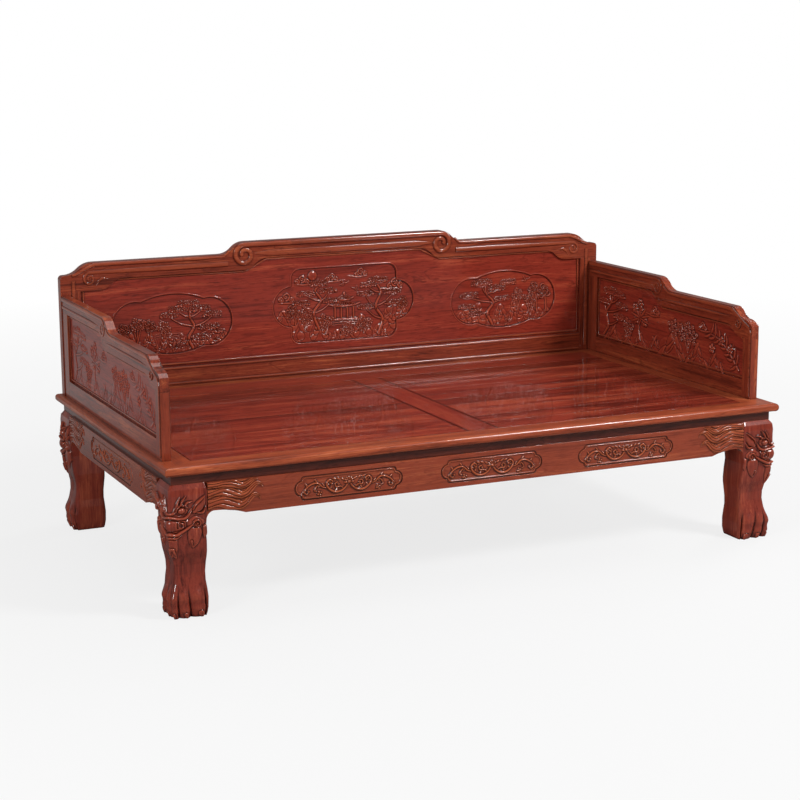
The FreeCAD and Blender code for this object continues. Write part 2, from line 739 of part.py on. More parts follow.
def back_post():
    """The right post with a tenon at each end."""
    middle = f"({POST_INNER} + {BACK_END}) / 2"
    deep = span(BACK_MIDDLE, "foot_tenon_thickness")
    across = span(middle, "foot_tenon_width")
    post = box("back_post_bar", (POST_INNER, BACK_END), (BACK_FRONT, BACK_REAR),
               ("seat_height", EAR_OPENING))
    head = box("back_post_head", across, span(BACK_MIDDLE, "rail_tenon_thickness"),
               (EAR_OPENING, f"{EAR_OPENING} + rail_tenon_length"))
    return fused("back_post_blank", post, head, foot_tenon("back_post_foot", across, deep)), across, deep


def back_bottom_rail():
    rail = box("back_bottom_rail_bar", (minus(POST_INNER), POST_INNER), (BACK_FRONT, BACK_REAR),
               ("seat_height", BACK_RAIL_TOP))
    tenon = box(
        "back_bottom_rail_tenons",
        (f"-({POST_INNER} + rail_tenon_length)", f"{POST_INNER} + rail_tenon_length"),
        span(BACK_MIDDLE, "rail_tenon_thickness"),
        ("seat_height + rail_tenon_shoulder", f"{BACK_RAIL_TOP} - rail_tenon_shoulder"),
    )
    return fused("back_bottom_rail_blank", rail, tenon)


def back_batten(name, middle, opening):
    """An upright batten behind the back panel, housed in the panel and in both rails."""
    return box(
        name,
        span(middle, "back_batten_width"),
        (f"{BOARD_FACES[1]} - back_batten_housing", BACK_REAR),
        (f"{BACK_RAIL_TOP} - groove_depth", f"{opening} + groove_depth"),
    )


def side_opening(rise):
    """Upper edge of the side opening from front to back, lifted by a rise."""
    levels = (SIDE_LOW_OPENING, SIDE_MIDDLE_OPENING, SIDE_HIGH_OPENING)
    low, middle, high = (f"{level} + {rise}" for level in levels)
    lower = [along_side(run) for run in (
        "side_lower_opening_start", "side_lower_opening_start + side_lower_opening_length")]
    upper = [along_side(run) for run in (
        "side_upper_opening_start", "side_upper_opening_start + side_upper_opening_length")]
    return [
        *sweep((lower[0], low), (lower[1], middle), SWEEP_SHARE),
        (lower[1], middle),
        *sweep((upper[0], middle), (upper[1], high), STEEP_SWEEP_SHARE),
        (upper[1], high),
    ]


def side_top_rail():
    """The stepped rail over the right railing."""
    lower = [along_side(run) for run in (
        "side_lower_step_start", "side_lower_step_start + side_lower_step_length")]
    upper = [along_side(run) for run in (
        "side_upper_step_start", "side_upper_step_start + side_upper_step_length")]
    climb = [
        (SIDE_FRONT, SIDE_END, -SWEEP_SHARE),
        *sweep((lower[0], SIDE_LOW), (lower[1], SIDE_MIDDLE_LEVEL), SWEEP_SHARE),
        (lower[1], SIDE_MIDDLE_LEVEL),
        *sweep((upper[0], SIDE_MIDDLE_LEVEL), (upper[1], SIDE_HIGH), SWEEP_SHARE),
        (upper[1], SIDE_HIGH),
    ]
    outline = [
        (SIDE_FRONT, SIDE_LOW_OPENING),
        *side_opening("0"),
        (BACK_FRONT, SIDE_HIGH_OPENING),
        (BACK_FRONT, SIDE_HIGH),
        *reversed_run(climb),
    ]
    return prism("side_top_rail_blank", "YZ", SIDE_INNER, SIDE_OUTER, outline)


def side_board():
    """The floating panel of the right railing."""
    front, rear = f"({SIDE_FRONT_INNER} - groove_depth)", f"({SIDE_REAR_INNER} + groove_depth)"
    bottom = f"{SIDE_RAIL_TOP} - groove_depth"
    top = side_opening("groove_depth")
    outline = [(front, bottom), (rear, bottom), (rear, top[-1][1]), *reversed_run(top), (front, top[0][1])]
    return prism("side_board_blank", "YZ", *span(SIDE_MIDDLE, "side_board_thickness"), outline)


def side_post(name, y_low, y_high, top):
    """A post of the right railing with a head tenon and a foot tenon."""
    middle = f"({y_low} + {y_high}) / 2"
    across = span(SIDE_MIDDLE, "foot_tenon_thickness")
    deep = span(middle, "foot_tenon_width")
    post = box(f"{name}_bar", (SIDE_INNER, SIDE_OUTER), (y_low, y_high), ("seat_height", top))
    head = box(f"{name}_head", span(SIDE_MIDDLE, "rail_tenon_thickness"), deep,
               (top, f"{top} + rail_tenon_length"))
    return fused(f"{name}_blank", post, head, foot_tenon(f"{name}_foot", across, deep)), across, deep


def side_bottom_rail():
    rail = box("side_bottom_rail_bar", (SIDE_INNER, SIDE_OUTER), (SIDE_FRONT_INNER, SIDE_REAR_INNER),
               ("seat_height", SIDE_RAIL_TOP))
    tenon = box(
        "side_bottom_rail_tenons",
        span(SIDE_MIDDLE, "rail_tenon_thickness"),
        (f"{SIDE_FRONT_INNER} - rail_tenon_length", f"{SIDE_REAR_INNER} + rail_tenon_length"),
        ("seat_height + rail_tenon_shoulder", f"{SIDE_RAIL_TOP} - rail_tenon_shoulder"),
    )
    return fused("side_bottom_rail_blank", rail, tenon)


def key_outline(gap):
    """The dovetail seen from above, wide at the back."""
    neck, back = (f"({width} / 2 + {gap})" for width in ("key_neck", "key_back"))
    deep = f"{BACK_FRONT} + key_depth + {gap}"
    return [
        (f"{SIDE_MIDDLE} - {neck}", BACK_FRONT),
        (f"{SIDE_MIDDLE} + {neck}", BACK_FRONT),
        (f"{SIDE_MIDDLE} + {back}", deep),
        (f"{SIDE_MIDDLE} - {back}", deep),
    ]


def hanging_key():
    """The dovetail key fixed in the rear post of the right railing."""
    dovetail = prism("key_dovetail", "XY", KEY_BOTTOM, KEY_TOP, key_outline("0"))
    root = box("key_root_bar", span(SIDE_MIDDLE, "key_neck"), (f"{BACK_FRONT} - key_root", BACK_FRONT),
               (KEY_BOTTOM, KEY_TOP))
    return fused("hanging_key_right", dovetail, root)


def key_way():
    """The groove in the right back post: dovetail below, open pocket above for the lifted key."""
    groove = prism("key_groove", "XY", f"{KEY_BOTTOM} - running_gap", f"{KEY_TOP} + running_gap",
                   key_outline("running_gap"))
    pocket = box("key_pocket", span(SIDE_MIDDLE, "key_back + running_gap * 2"),
                 (BACK_FRONT, f"{BACK_FRONT} + key_depth + running_gap"),
                 (KEY_TOP, f"{KEY_TOP} + lift_travel + mortise_floor_gap"))
    return groove, pocket


LEFT = FreeCAD.Vector(1, 0, 0)
REAR = FreeCAD.Vector(0, 1, 0)


def pair(name, right):
    """Lists a right-hand piece and its mirror image under the two names."""
    node(f"{name}_right", right)
    node(f"{name}_left", mirrored(f"{name}_left", right, LEFT))


def build_railings():
    """Builds the three railings and returns the tools that cut their mortises in the seat frame."""
    carved = cut("back_board_carved", back_board(), *back_fields())
    post, post_x, post_y = back_post()
    low_rail = back_bottom_rail()
    battens = [
        back_batten("back_batten_left", minus("back_batten_pitch"), SHOULDER_OPENING),
        back_batten("back_batten_centre", "0", CREST_OPENING),
        back_batten("back_batten_right", "back_batten_pitch", SHOULDER_OPENING),
    ]
    panel = cut("back_board", carved, *battens)
    left_post = mirrored("back_post_mirror", post, LEFT)
    node("back_board", panel)
    node("back_top_rail", cut("back_top_rail", back_top_rail(), panel, post, left_post, *battens))
    node("back_bottom_rail", cut("back_bottom_rail", low_rail, panel, *battens))
    for name, batten in zip(("left", "centre", "right"), battens):
        node(f"back_batten_{name}", batten)
    pair("back_post", cut("back_post", post, panel, low_rail, *key_way()))

    board = side_board()
    front, front_x, front_y = side_post("side_front_post", SIDE_FRONT, SIDE_FRONT_INNER,
                                        SIDE_LOW_OPENING)
    rear, rear_x, rear_y = side_post("side_rear_post", SIDE_REAR_INNER, BACK_FRONT, SIDE_HIGH_OPENING)
    side_low = side_bottom_rail()
    key = hanging_key()
    pair("side_board", board)
    pair("side_top_rail", cut("side_top_rail", side_top_rail(), board, front, rear))
    pair("side_bottom_rail", cut("side_bottom_rail", side_low, board))
    pair("side_front_post", cut("side_front_post", front, board, side_low))
    pair("side_rear_post", cut("side_rear_post", rear, board, side_low, key))
    pair("hanging_key", key)
    return (
        mortise("back_post_mortise", post_x, post_y),
        mortise("side_front_mortise", front_x, front_y),
        mortise("side_rear_mortise", rear_x, rear_y),
    )


def build_platform(back_mortise, front_mortise, rear_mortise):
    """Builds the seat frame, waist, aprons and legs."""
    apron_back = f"({LEG_FACE} - apron_thickness)"
    front_apron = apron_long("apron_front", f"(-{LEG_FACE})", f"(-{apron_back})")
    rear_apron = apron_long("apron_rear", apron_back, LEG_FACE)
    right_apron = apron_end("apron_right")
    waists = {name: waist_long(f"waist_{name}", side) for name, side in (("front", -1), ("rear", 1))}
    waists["right"] = waist_end("waist_right")
    front_fields, end_field = apron_fields("apron_field")
    node("apron_front", cut("apron_front", front_apron, waists["front"], *front_fields))
    node("apron_rear", cut("apron_rear", rear_apron, waists["rear"]))
    pair("apron", cut("apron_right", right_apron, waists["right"], end_field))
    node("waist_front", waists["front"])
    node("waist_rear", waists["rear"])
    pair("waist", waists["right"])

    blank, tenon = leg()
    front_leg = cut("leg_front_right", blank, front_apron, right_apron)
    pair("leg_front", front_leg)
    pair("leg_rear", mirrored("leg_rear_right", front_leg, REAR))

    stretcher = centre_rail()
    bearer = seam_bearer()
    tenons = (tenon, mirrored("leg_tenon_mirror", tenon, LEFT))
    rear_tenons = [mirrored(f"{item.Name}_rear", item, REAR) for item in tenons]
    end = cut("end_rail_notched", end_rail("seat_rail_right"), tenon, rear_tenons[0])
    ends = (end, mirrored("end_rail_mirror", end, LEFT))
    front = long_rail("seat_rail_front", minus(HALF_WIDTH), FRONT_INNER)
    rear = long_rail("seat_rail_rear", HALF_WIDTH, REAR_INNER)
    post_holes = (back_mortise, mirrored("back_mortise_mirror", back_mortise, LEFT))
    node("seat_rail_front", cut("seat_rail_front", front, waists["front"], stretcher, *ends, *tenons))
    node("seat_rail_rear", cut("seat_rail_rear", rear, waists["rear"], *ends, *rear_tenons, *post_holes))
    pair("seat_rail", cut("seat_rail_right", end, waists["right"], bearer, front_mortise, rear_mortise,
                          back_mortise))
    node("rear_board", cut("rear_board", rear_board(), stretcher))
    node("centre_rail", cut("centre_rail", stretcher, bearer, mirrored("bearer_mirror", bearer, LEFT)))
    pair("seam_bearer", bearer)


def build_deck():
    """Builds the four loose panels."""
    bearer_front = f"{SEAM} - seam_bearer_width / 2"
    bearer_rear = f"{SEAM} + seam_bearer_width / 2"
    panels = {
        "front": (f"({FRONT_INNER} + deck_gap)", f"({SEAM} - deck_gap / 2)",
                  f"{FRONT_INNER} + ledge_width + deck_batten_clearance",
                  f"{bearer_front} - deck_batten_clearance"),
        "rear": (f"({SEAM} + deck_gap / 2)", f"({REAR_BOARD_FRONT} - deck_gap)",
                 f"{bearer_rear} + deck_batten_clearance",
                 f"{REAR_BOARD_FRONT} - ledge_width - deck_batten_clearance"),
    }
    for name, places in panels.items():
        boards, battens = deck_panel(name, *places)
        pair(f"deck_boards_{name}", boards)
        pair(f"deck_battens_{name}", battens)


def check_and_export():
    """Stops on any failed object or bad shape, then writes one STEP file for each sub-part."""
    doc.recompute()
    for item in doc.Objects:
        if {"Invalid", "Error"} & set(item.State):
            raise RuntimeError(f"{item.Label}: {item.State}")
    for item in nodes:
        if item.Shape.isNull() or not item.Shape.isValid():
            raise RuntimeError(f"{item.Label}: bad shape")
    os.makedirs("parts", exist_ok=True)
    for item in nodes:
        item.Shape.exportStep(os.path.join("parts", f"{item.Label}.step"))
    print(len(nodes), "sub-parts,", sum(len(item.Shape.Solids) for item in nodes), "solids")


fill_sheet()
build_platform(*build_railings())
build_deck()
check_and_export()
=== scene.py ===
import math
import random

import bmesh
import bpy
import numpy as np
from mathutils import Matrix, Vector


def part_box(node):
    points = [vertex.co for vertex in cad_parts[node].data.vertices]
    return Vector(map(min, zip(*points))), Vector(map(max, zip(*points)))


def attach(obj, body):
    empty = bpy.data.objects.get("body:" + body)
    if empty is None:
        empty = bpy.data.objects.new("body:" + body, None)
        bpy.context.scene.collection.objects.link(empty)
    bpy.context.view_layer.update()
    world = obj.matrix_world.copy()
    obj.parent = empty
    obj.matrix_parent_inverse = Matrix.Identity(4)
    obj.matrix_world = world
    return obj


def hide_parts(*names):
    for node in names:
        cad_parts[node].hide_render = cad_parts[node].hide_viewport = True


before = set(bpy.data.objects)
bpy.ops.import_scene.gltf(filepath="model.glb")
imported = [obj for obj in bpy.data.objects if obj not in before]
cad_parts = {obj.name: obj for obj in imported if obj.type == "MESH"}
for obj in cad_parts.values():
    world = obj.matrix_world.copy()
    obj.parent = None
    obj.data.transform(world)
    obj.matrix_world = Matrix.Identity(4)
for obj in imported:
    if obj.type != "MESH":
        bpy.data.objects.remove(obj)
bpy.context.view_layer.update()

# Camera fitted to the photograph, in metres, degrees and a 36 mm film width
CAMERA_PLACE = Vector((-2.7867, -5.9857, 1.8346))
CAMERA_AZIMUTH = -24.632
CAMERA_ELEVATION = 11.641
CAMERA_ROLL = -0.276
CAMERA_LENS = 85.99
FILM_WIDTH = 36

# Wood tones from dark to light, linear
RED_WOOD = ((0.09, 0.011, 0.007), (0.247, 0.029, 0.016), (0.42, 0.075, 0.034))
# The lip's wood, more orange and lighter than the rest: partly its own tone, partly painted light on its
# rounded, lit face
LIP_WOOD_WITH_LIGHT = ((0.13, 0.023, 0.010), (0.32, 0.062, 0.024), (0.50, 0.130, 0.048))
LEG_WOOD = ((0.070, 0.010, 0.007), (0.208, 0.031, 0.018), (0.37, 0.075, 0.036))
FRAME_WOOD = ((0.080, 0.012, 0.006), (0.222, 0.035, 0.015), (0.40, 0.090, 0.034))
BROWN_WOOD = ((0.085, 0.014, 0.007), (0.25, 0.043, 0.018), (0.44, 0.108, 0.040))
PLAIN_WOOD = ((0.12, 0.028, 0.014), (0.21, 0.05, 0.025), (0.28, 0.075, 0.038))
# The waist's wood, darkened as painted shade under the lip's overhang
SHADED_WAIST_WOOD = ((0.04, 0.008, 0.005), (0.09, 0.018, 0.010), (0.14, 0.032, 0.017))

# Where painted shade and highlight lie on the wood, in metres: softened edges, painted shade lines round the
# deck panels, painted shade in inner corners
EDGE_ROUNDING = 0.0015
GAP_SHADE_LINE = (0.0045, 0.0075)
CORNER_SHADE_REACH = 0.010

# How strongly each mark on the wood shows, from 0 to 1: painted shade along deck gaps and panel arrises,
# wear and painted highlight on other arrises, painted shade in inner corners and hollows, painted highlight
# on ridges, then the grain's veins, flecks and pores
GAP_SHADE_SHARE = 0.97
PANEL_ARRIS_SHADE_SHARE = 0.9
ARRIS_WEAR_AND_HIGHLIGHT_SHARE = 0.4
CORNER_SHADE_SHARE = 0.85
HOLLOW_SHADE_SHARE = 0.82
RIDGE_HIGHLIGHT_SHARE = 0.62
VEIN_SHARE = 0.6
FLECK_SHARE = 0.75
PORE_SHARE = 0.35

# The crease that counts as full, the painted shade in hollows, corners and gaps as a share of the dark tone,
# and the lacquer
FULL_CREASE = 0.8
SHADE_OF_DARK = 0.3
COAT_ROUGHNESS = 0.08
UNDERCOAT_SPECULAR = 0.1
BUMP_HEIGHT = 0.0004

# Layers of the wood's figure: cycles per metre along and across the grain, detail and roughness
WAVES = (1.4, 5.0, 2.0, 0.5)
STREAKS = (0.9, 38.0, 6.0, 0.7)
LINES = (4.0, 210.0, 4.0, 0.65)
RINGS = (0.7, 14.0, 3.0, 0.5)
BANDS = (0.5, 10.0, 3.0, 0.6)
FLECKS = (26.0, 300.0, 3.0, 0.6)
PORES = (45.0, 1100.0, 2.0, 0.5)
MOTTLE = (3.0, 9.0, 3.0, 0.55)

# How far the waves push the figure aside, each wood's share of a shift along X, Y and Z, and the figure's
# values where the tones dark, middle, middle and light lie
GRAIN_DRIFT = 3.4
SEED_SHIFT = (3.17, 1.93, 2.71)
TONE_STOPS = (0.39, 0.48, 0.52, 0.61)

# The studio: the floor's size and greys, how it glows far away and in mirrored light, and the surround
FLOOR_SIZE = 60
FLOOR_GREY = (0.55, 0.55, 0.55, 1)
MIRRORED_GREY = (0.15, 0.15, 0.15, 1)
WHITE = (1, 1, 1, 1)
GLOW_REACH = (1.5, 6.0)
GLOW_NEAR = 0.8
MIRROR_REACH = (1.0, 3.0)
MIRROR_GLOW = 0.24
WORLD_LIGHT = 0.24
WORLD_IN_MIRROR = 0.16

# Lamps: name, place, aim, size and power
LAMPS = (
    ("key", (3.0, -3.8, 4.2), (0, 0, 0.4), 1.3, 290),
    ("fill", (-5.2, -3.0, 2.5), (0.2, 0, 0.5), 1.6, 150),
    ("top", (-0.5, 0.2, 4.5), (0, 0.1, 0.4), 2.5, 45),
    ("rear", (6.0, 2.6, 3.4), (0, 0, 0.5), 2.0, 150),
)

# Where the bed's faces, legs and fields are that carry carving, in metres
LEG_INNER = (0.974, 0.504)
LEG_WIDTH = 0.120
LEG_HEIGHT = 0.422
APRON_FACE = 0.624
APRON_END_FACE = 1.094
APRON_THICKNESS = 0.026
APRON_FIELD_LEVEL = 0.3685
APRON_FIELD_DEPTH = 0.003
APRON_FIELD_PITCH = 0.505
APRON_FIELD_HALVES = (0.185, 0.242)
APRON_FIELD_RISE = 0.039
APRON_FIELD_STEP = 0.025
BACK_FACE = 0.583
BACK_BOARD_FACE = 0.591
BACK_FIELD_FLOOR = 0.595
SIDE_FACES = (1.058, 1.087)
SIDE_BOARD_FACES = (1.0675, 1.0775)

# The top of an end railing's opening, as places along Y and the level at each; how far below it the
# carving stops, and how far past it the carved sheet reaches
SIDE_OPENING = ((-0.488, -0.475, -0.39, 0.05, 0.127, 0.52), (0.692, 0.694, 0.729, 0.729, 0.781, 0.781))
SIDE_MARGIN = 0.012
SIDE_LAP = 0.008

# Carving: the grid's pitch, the groove round a nearer shape and how much stays of what lies under it
GRID = 0.0013
SIDE_GRID = 0.0017
GAP = 0.0011
GROOVE_SHARE = 0.2
MASK_GROOVE_SHARE = 0.55
UNDER_SHARE = 0.5

# How far a carved block stands out of its face and reaches behind it
PROUD = 0.0003
CARVING_BACK = -0.0015

# A crease, which sets painted shade in hollows and painted highlight on ridges: its neighbourhood in grid
# cells on each side, the depths that make it 1, and its share on the legs
CREASE_CELLS = 3
CREASE_DEPTH = 0.0009
MANE_CREASE_DEPTH = 0.0015
LEG_CREASE_SHARE = 0.8

# The painted shade in the corner along a field's edge: its strength before it is cut off at 1, and the
# distance that takes 1 away
EDGE_SHADE = (1.9, 0.0022)

# Mouldings: how far they are sunk in, the points round their section, the crease at the foot, painted there
# as shade, and its fall towards the crest, where it turns into painted highlight, and how far the raised
# bands stand out
STRIP_SUNK = 0.0015
STRIP_SIDES = 8
STRIP_SHADE_AND_HIGHLIGHT = (0.9, 1.35)
BAND_HEIGHT = 0.0045

# Lips round the fields: how far from the field's edge, half the width and the height
BACK_LIP = (0.003, 0.0026, 0.0014)
APRON_LIP = (0.0065, 0.0022, 0.0042)

# Needles in a fan, blades in a tuft, and points along each outer and each inner face of a leg
NEEDLES = 5
BLADES = 5
LEG_POINTS = (78, 22)

# Share of the carving's height outside the end railings, and on the end aprons
OUTER_SHARE = 0.4
END_SHARE = 0.6

# Edges that turn by more degrees than this stay sharp
SHARP_ANGLE = 62

# Boards that each deck panel is painted as
DECK_BOARDS = 5

# The sign and the name of each end along X, and of each row along Y
ENDS = ((-1, "left"), (1, "right"))
ROWS = ((-1, "front"), (1, "rear"))


def make_camera():
    azimuth, elevation, roll = (math.radians(a) for a in (CAMERA_AZIMUTH, CAMERA_ELEVATION, CAMERA_ROLL))
    back = Vector((math.sin(azimuth) * math.cos(elevation), -math.cos(azimuth) * math.cos(elevation),
                   math.sin(elevation)))
    right = (-back).cross(Vector((0, 0, 1))).normalized()
    up = right.cross(-back)
    tilted_right = right * math.cos(roll) + up * math.sin(roll)
    tilted_up = up * math.cos(roll) - right * math.sin(roll)
    turn = Matrix((tilted_right, tilted_up, back)).transposed()
    lens = bpy.data.cameras.new("camera")
    lens.sensor_width = FILM_WIDTH
    lens.lens = CAMERA_LENS
    camera = bpy.data.objects.new("camera", lens)
    camera.matrix_world = Matrix.Translation(CAMERA_PLACE) @ turn.to_4x4()
    bpy.context.scene.collection.objects.link(camera)
    bpy.context.scene.camera = camera


class Graph:
    """A short way to add shader nodes and join them."""

    def __init__(self, tree):
        self.tree = tree
        self.tree.nodes.clear()

    def add(self, kind, inputs=(), out=0, **settings):
        node = self.tree.nodes.new(kind)
        for key, setting in settings.items():
            setattr(node, key, setting)
        for socket, given in dict(inputs).items():
            if isinstance(given, bpy.types.NodeSocket):
                self.tree.links.new(given, node.inputs[socket])
            else:
                node.inputs[socket].default_value = given
        return node.outputs[out] if node.outputs else None

    def math(self, operation, first, second=0.0, third=0.0):
        return self.add("ShaderNodeMath", {0: first, 1: second, 2: third}, operation=operation)

    def centred(self, value):
        """Moves a value from 0 to 1 so that it lies about 0."""
        return self.math("SUBTRACT", value, 0.5)

    def vector(self, operation, first, second=(0, 0, 0), out=0):
        return self.add("ShaderNodeVectorMath", {0: first, 1: second}, out=out, operation=operation)

    def noise(self, place, detail, roughness):
        return self.add("ShaderNodeTexNoise", {
            "Vector": place, "Scale": 1.0, "Detail": detail, "Roughness": roughness})

    def span(self, value, start, end, first, last):
        """Turns a value between start and end into one between first and last, which it doesn't leave."""
        return self.add("ShaderNodeMapRange", {0: value, 1: start, 2: end, 3: first, 4: last})

    def axis(self, place, number):
        return self.add("ShaderNodeSeparateXYZ", {0: place}, out=number)

    def mix(self, factor, first, second):
        """Sockets 6 and 7 are the two colours and output 2 the mixed colour."""
        return self.add("ShaderNodeMix", {0: factor, 6: first, 7: second}, out=2, data_type="RGBA")

    def ramp(self, factor, stops):
        node = self.tree.nodes.new("ShaderNodeValToRGB")
        elements = node.color_ramp.elements
        while len(elements) < len(stops):
            elements.new(0.5)
        for element, (position, colour) in zip(elements, stops):
            element.position = position
            element.color = (*colour, 1)
        self.tree.links.new(factor, node.inputs[0])
        return node.outputs[0]


def smooth(points, count=5):
    """A smooth line through the points."""
    points = np.asarray(points, float)
    ends = np.vstack([2 * points[0] - points[1], points, 2 * points[-1] - points[-2]])
    t = np.linspace(0, 1, count, endpoint=False)[:, None]
    runs = [
        0.5 * (2 * b + (c - a) * t + (2 * a - 5 * b + 4 * c - d) * t ** 2 + (3 * b - a - 3 * c + d) * t ** 3)
        for a, b, c, d in zip(ends, ends[1:], ends[2:], ends[3:])
    ]
    return np.vstack([*runs, points[-1:]])


def spiral(centre, outer, inner, start, turns, count=16, ease=1.0):
    """Points of a spiral from its outer to its inner radius; start and turns are in whole turns."""
    share = np.linspace(0, 1, max(4, int(abs(turns) * count)))
    angle = (start + turns * share) * 2 * math.pi
    radius = outer + (inner - outer) * share ** ease
    return np.column_stack([centre[0] + radius * np.cos(angle), centre[1] + radius * np.sin(angle)])


def arc(start, end, bulge, count=8):
    """Points of an arc whose height is a share of its chord; it bulges to the right of its way."""
    start, end = np.asarray(start, float), np.asarray(end, float)
    chord = end - start
    if not bulge:
        return np.array([start, end])
    half = 2 * math.atan(2 * bulge)
    turn = np.linspace(-half, half, count + 1)
    along = np.sin(turn) / math.sin(half) / 2 + 0.5
    out = (np.cos(turn) - math.cos(half)) / math.sin(half) / 2
    return start + along[:, None] * chord + out[:, None] * np.array([chord[1], -chord[0]])


def around(centre, angle, reach, lift):
    """The place at an angle on an oval with these half lengths."""
    return centre[0] + reach * math.cos(angle), centre[1] + lift * math.sin(angle)


def outline(right):
    """A closed line from the right half of it, given upwards as points (u, v, bulge of what follows)."""
    left = [(-u, v) for u, v, _ in right[::-1]]
    bulges = [bulge for _, _, bulge in right]
    corners = [(u, v) for u, v, _ in right] + left
    steps = bulges[:-1] + [bulges[-1]] + bulges[-2::-1] + [bulges[-1]]
    runs = [arc(a, b, bulge)[:-1] for a, b, bulge in zip(corners, corners[1:] + corners[:1], steps)]
    return np.vstack(runs)


class Relief:
    """Heights carved over a grid of places (u, v), in metres."""

    def __init__(self, left, right, low, high, step=GRID):
        self.step = step
        self.u = np.arange(left, right + step / 2, step)
        self.v = np.arange(low, high + step / 2, step)
        self.height = np.zeros((len(self.v), len(self.u)))
        # Painted shade added to the crease, such as in the corner along a field's edge
        self.shade = 0.0
        self.depth = CREASE_DEPTH
        self.groove = GROOVE_SHARE

    def near(self, low, high):
        """The slices of the grid inside a box, with the coordinates there."""
        columns = slice(*np.searchsorted(self.u, (low[0], high[0])))
        rows = slice(*np.searchsorted(self.v, (low[1], high[1])))
        return (rows, columns), *np.meshgrid(self.u[columns], self.v[rows])

    def lay(self, place, height, clear, gap):
        """Lays a shape on what is there; clear is the distance outside its edge."""
        there = self.height[place]
        there[(clear > 0) & (clear < gap)] *= self.groove
        inside = clear <= 0
        there[inside] = np.maximum(height, there * UNDER_SHARE)[inside]

    def inset(self, loop):
        """How far each grid place lies inside a closed line, below zero outside it."""
        u, v = np.meshgrid(self.u, self.v)
        away = np.full(u.shape, np.inf)
        crossed = np.zeros(u.shape, bool)
        for a, b in zip(loop, np.roll(loop, -1, axis=0)):
            line = b - a
            t = np.clip(((u - a[0]) * line[0] + (v - a[1]) * line[1]) / (line @ line), 0, 1)
            away = np.minimum(away, np.hypot(u - a[0] - t * line[0], v - a[1] - t * line[1]))
            if line[1]:
                across = line[0] * (v - a[1]) / line[1] + a[0]
                crossed ^= ((a[1] > v) != (b[1] > v)) & (u < across)
        return np.where(crossed, away, -away)

    def stroke(self, points, radii, height, base=0.0, ridge=False, gap=GAP, count=5):
        """A rounded or ridged band along a smooth line, with its half widths spread over the line."""
        path = smooth(points, count)
        run = np.concatenate([[0], np.cumsum(np.hypot(*np.diff(path, axis=0).T))])
        radius = np.interp(run / run[-1], np.linspace(0, 1, len(radii)), radii)
        margin = radius.max() + gap + self.step
        place, u, v = self.near(path.min(0) - margin, path.max(0) + margin)
        if not u.size:
            return
        rise, clear = np.zeros(u.shape), np.full(u.shape, np.inf)
        for a, b, wide_a, wide_b in zip(path, path[1:], radius, radius[1:]):
            line = b - a
            length = line @ line
            if not length:
                continue
            t = np.clip(((u - a[0]) * line[0] + (v - a[1]) * line[1]) / length, 0, 1)
            wide = wide_a + (wide_b - wide_a) * t
            away = np.hypot(u - a[0] - t * line[0], v - a[1] - t * line[1])
            share = np.clip(away / wide, 0, 1)
            form = 1 - share if ridge else np.sqrt(1 - share ** 2)
            np.maximum(rise, form * np.sqrt(wide / radius.max()), out=rise)
            np.minimum(clear, away - wide, out=clear)
        self.lay(place, base + height * rise, clear, gap)

    def dome(self, centre, radii, height, turn=0.0, gap=GAP):
        """An oval swelling."""
        reach = max(radii) + gap + self.step
        centre = np.array(centre)
        place, u, v = self.near(centre - reach, centre + reach)
        if not u.size:
            return
        u, v = u - centre[0], v - centre[1]
        x = (u * math.cos(turn) + v * math.sin(turn)) / radii[0]
        y = (v * math.cos(turn) - u * math.sin(turn)) / radii[1]
        share = np.hypot(x, y)
        rise = np.sqrt(np.clip(1 - share ** 2, 0, None))
        self.lay(place, height * rise, (share - 1) * min(radii), gap)

    def leaf(self, root, tip, width, height, bend=0.0):
        """A ridged leaf between two points, bent aside by a share of its length."""
        root, tip = np.asarray(root, float), np.asarray(tip, float)
        line = tip - root
        middle = root + line / 2 + bend * np.array([-line[1], line[0]])
        radii = (width * 0.25, width, width * 0.8, width * 0.1)
        self.stroke([root, middle, tip], radii, height, ridge=True)

    def scroll(self, centre, outer, start, turns, width, height):
        """A tendril that curls into an eye."""
        self.stroke(spiral(centre, outer, width * 1.3, start, turns), (width, width * 0.7), height, count=2)
        self.dome(centre, (width * 1.2, width * 1.2), height * 1.1)

    def blossom(self, centre, size, height, petals, turn=0.0):
        """A flower of round petals about a raised eye."""
        for angle in np.linspace(0, 2 * math.pi, petals, endpoint=False) + turn:
            out = size * 0.56
            self.dome(around(centre, angle, out, out), (size * 0.46, size * 0.36), height, angle,
                      gap=GAP * 0.7)
        self.dome(centre, (size * 0.24, size * 0.24), height * 1.25)

    def needles(self, centre, size, height):
        """A fan of fine ridges that opens upwards."""
        for angle in np.linspace(0.06, 0.94, NEEDLES) * math.pi:
            tip = around(centre, angle, size, size * 0.72)
            self.stroke([centre, tip], (0.0005, 0.0013, 0.0011), height, ridge=True, gap=0.0006, count=2)

    def crown(self, centre, half, height, rng):
        """A ragged cushion of pine needles: fans along its top and clumps along its foot."""
        self.dome(centre, (half, half * 0.34), height * 0.4)
        count = max(4, round(half / 0.0045))
        for share in np.linspace(-0.75, 0.75, count - 1):
            place = (centre[0] + share * half, centre[1] + half * rng.uniform(0.0, 0.14))
            self.needles(place, half * (0.34 - 0.14 * abs(share)) + 0.003, height * rng.uniform(0.8, 1.1))
        for share in np.linspace(-0.95, 0.95, count):
            place = (centre[0] + share * half, centre[1] - half * rng.uniform(0.04, 0.22))
            size = rng.uniform(0.0032, 0.0062)
            self.dome(place, (size, size * rng.uniform(0.5, 0.8)), height * rng.uniform(0.75, 1.2),
                      rng.uniform(-0.5, 0.5), gap=GAP * 0.8)

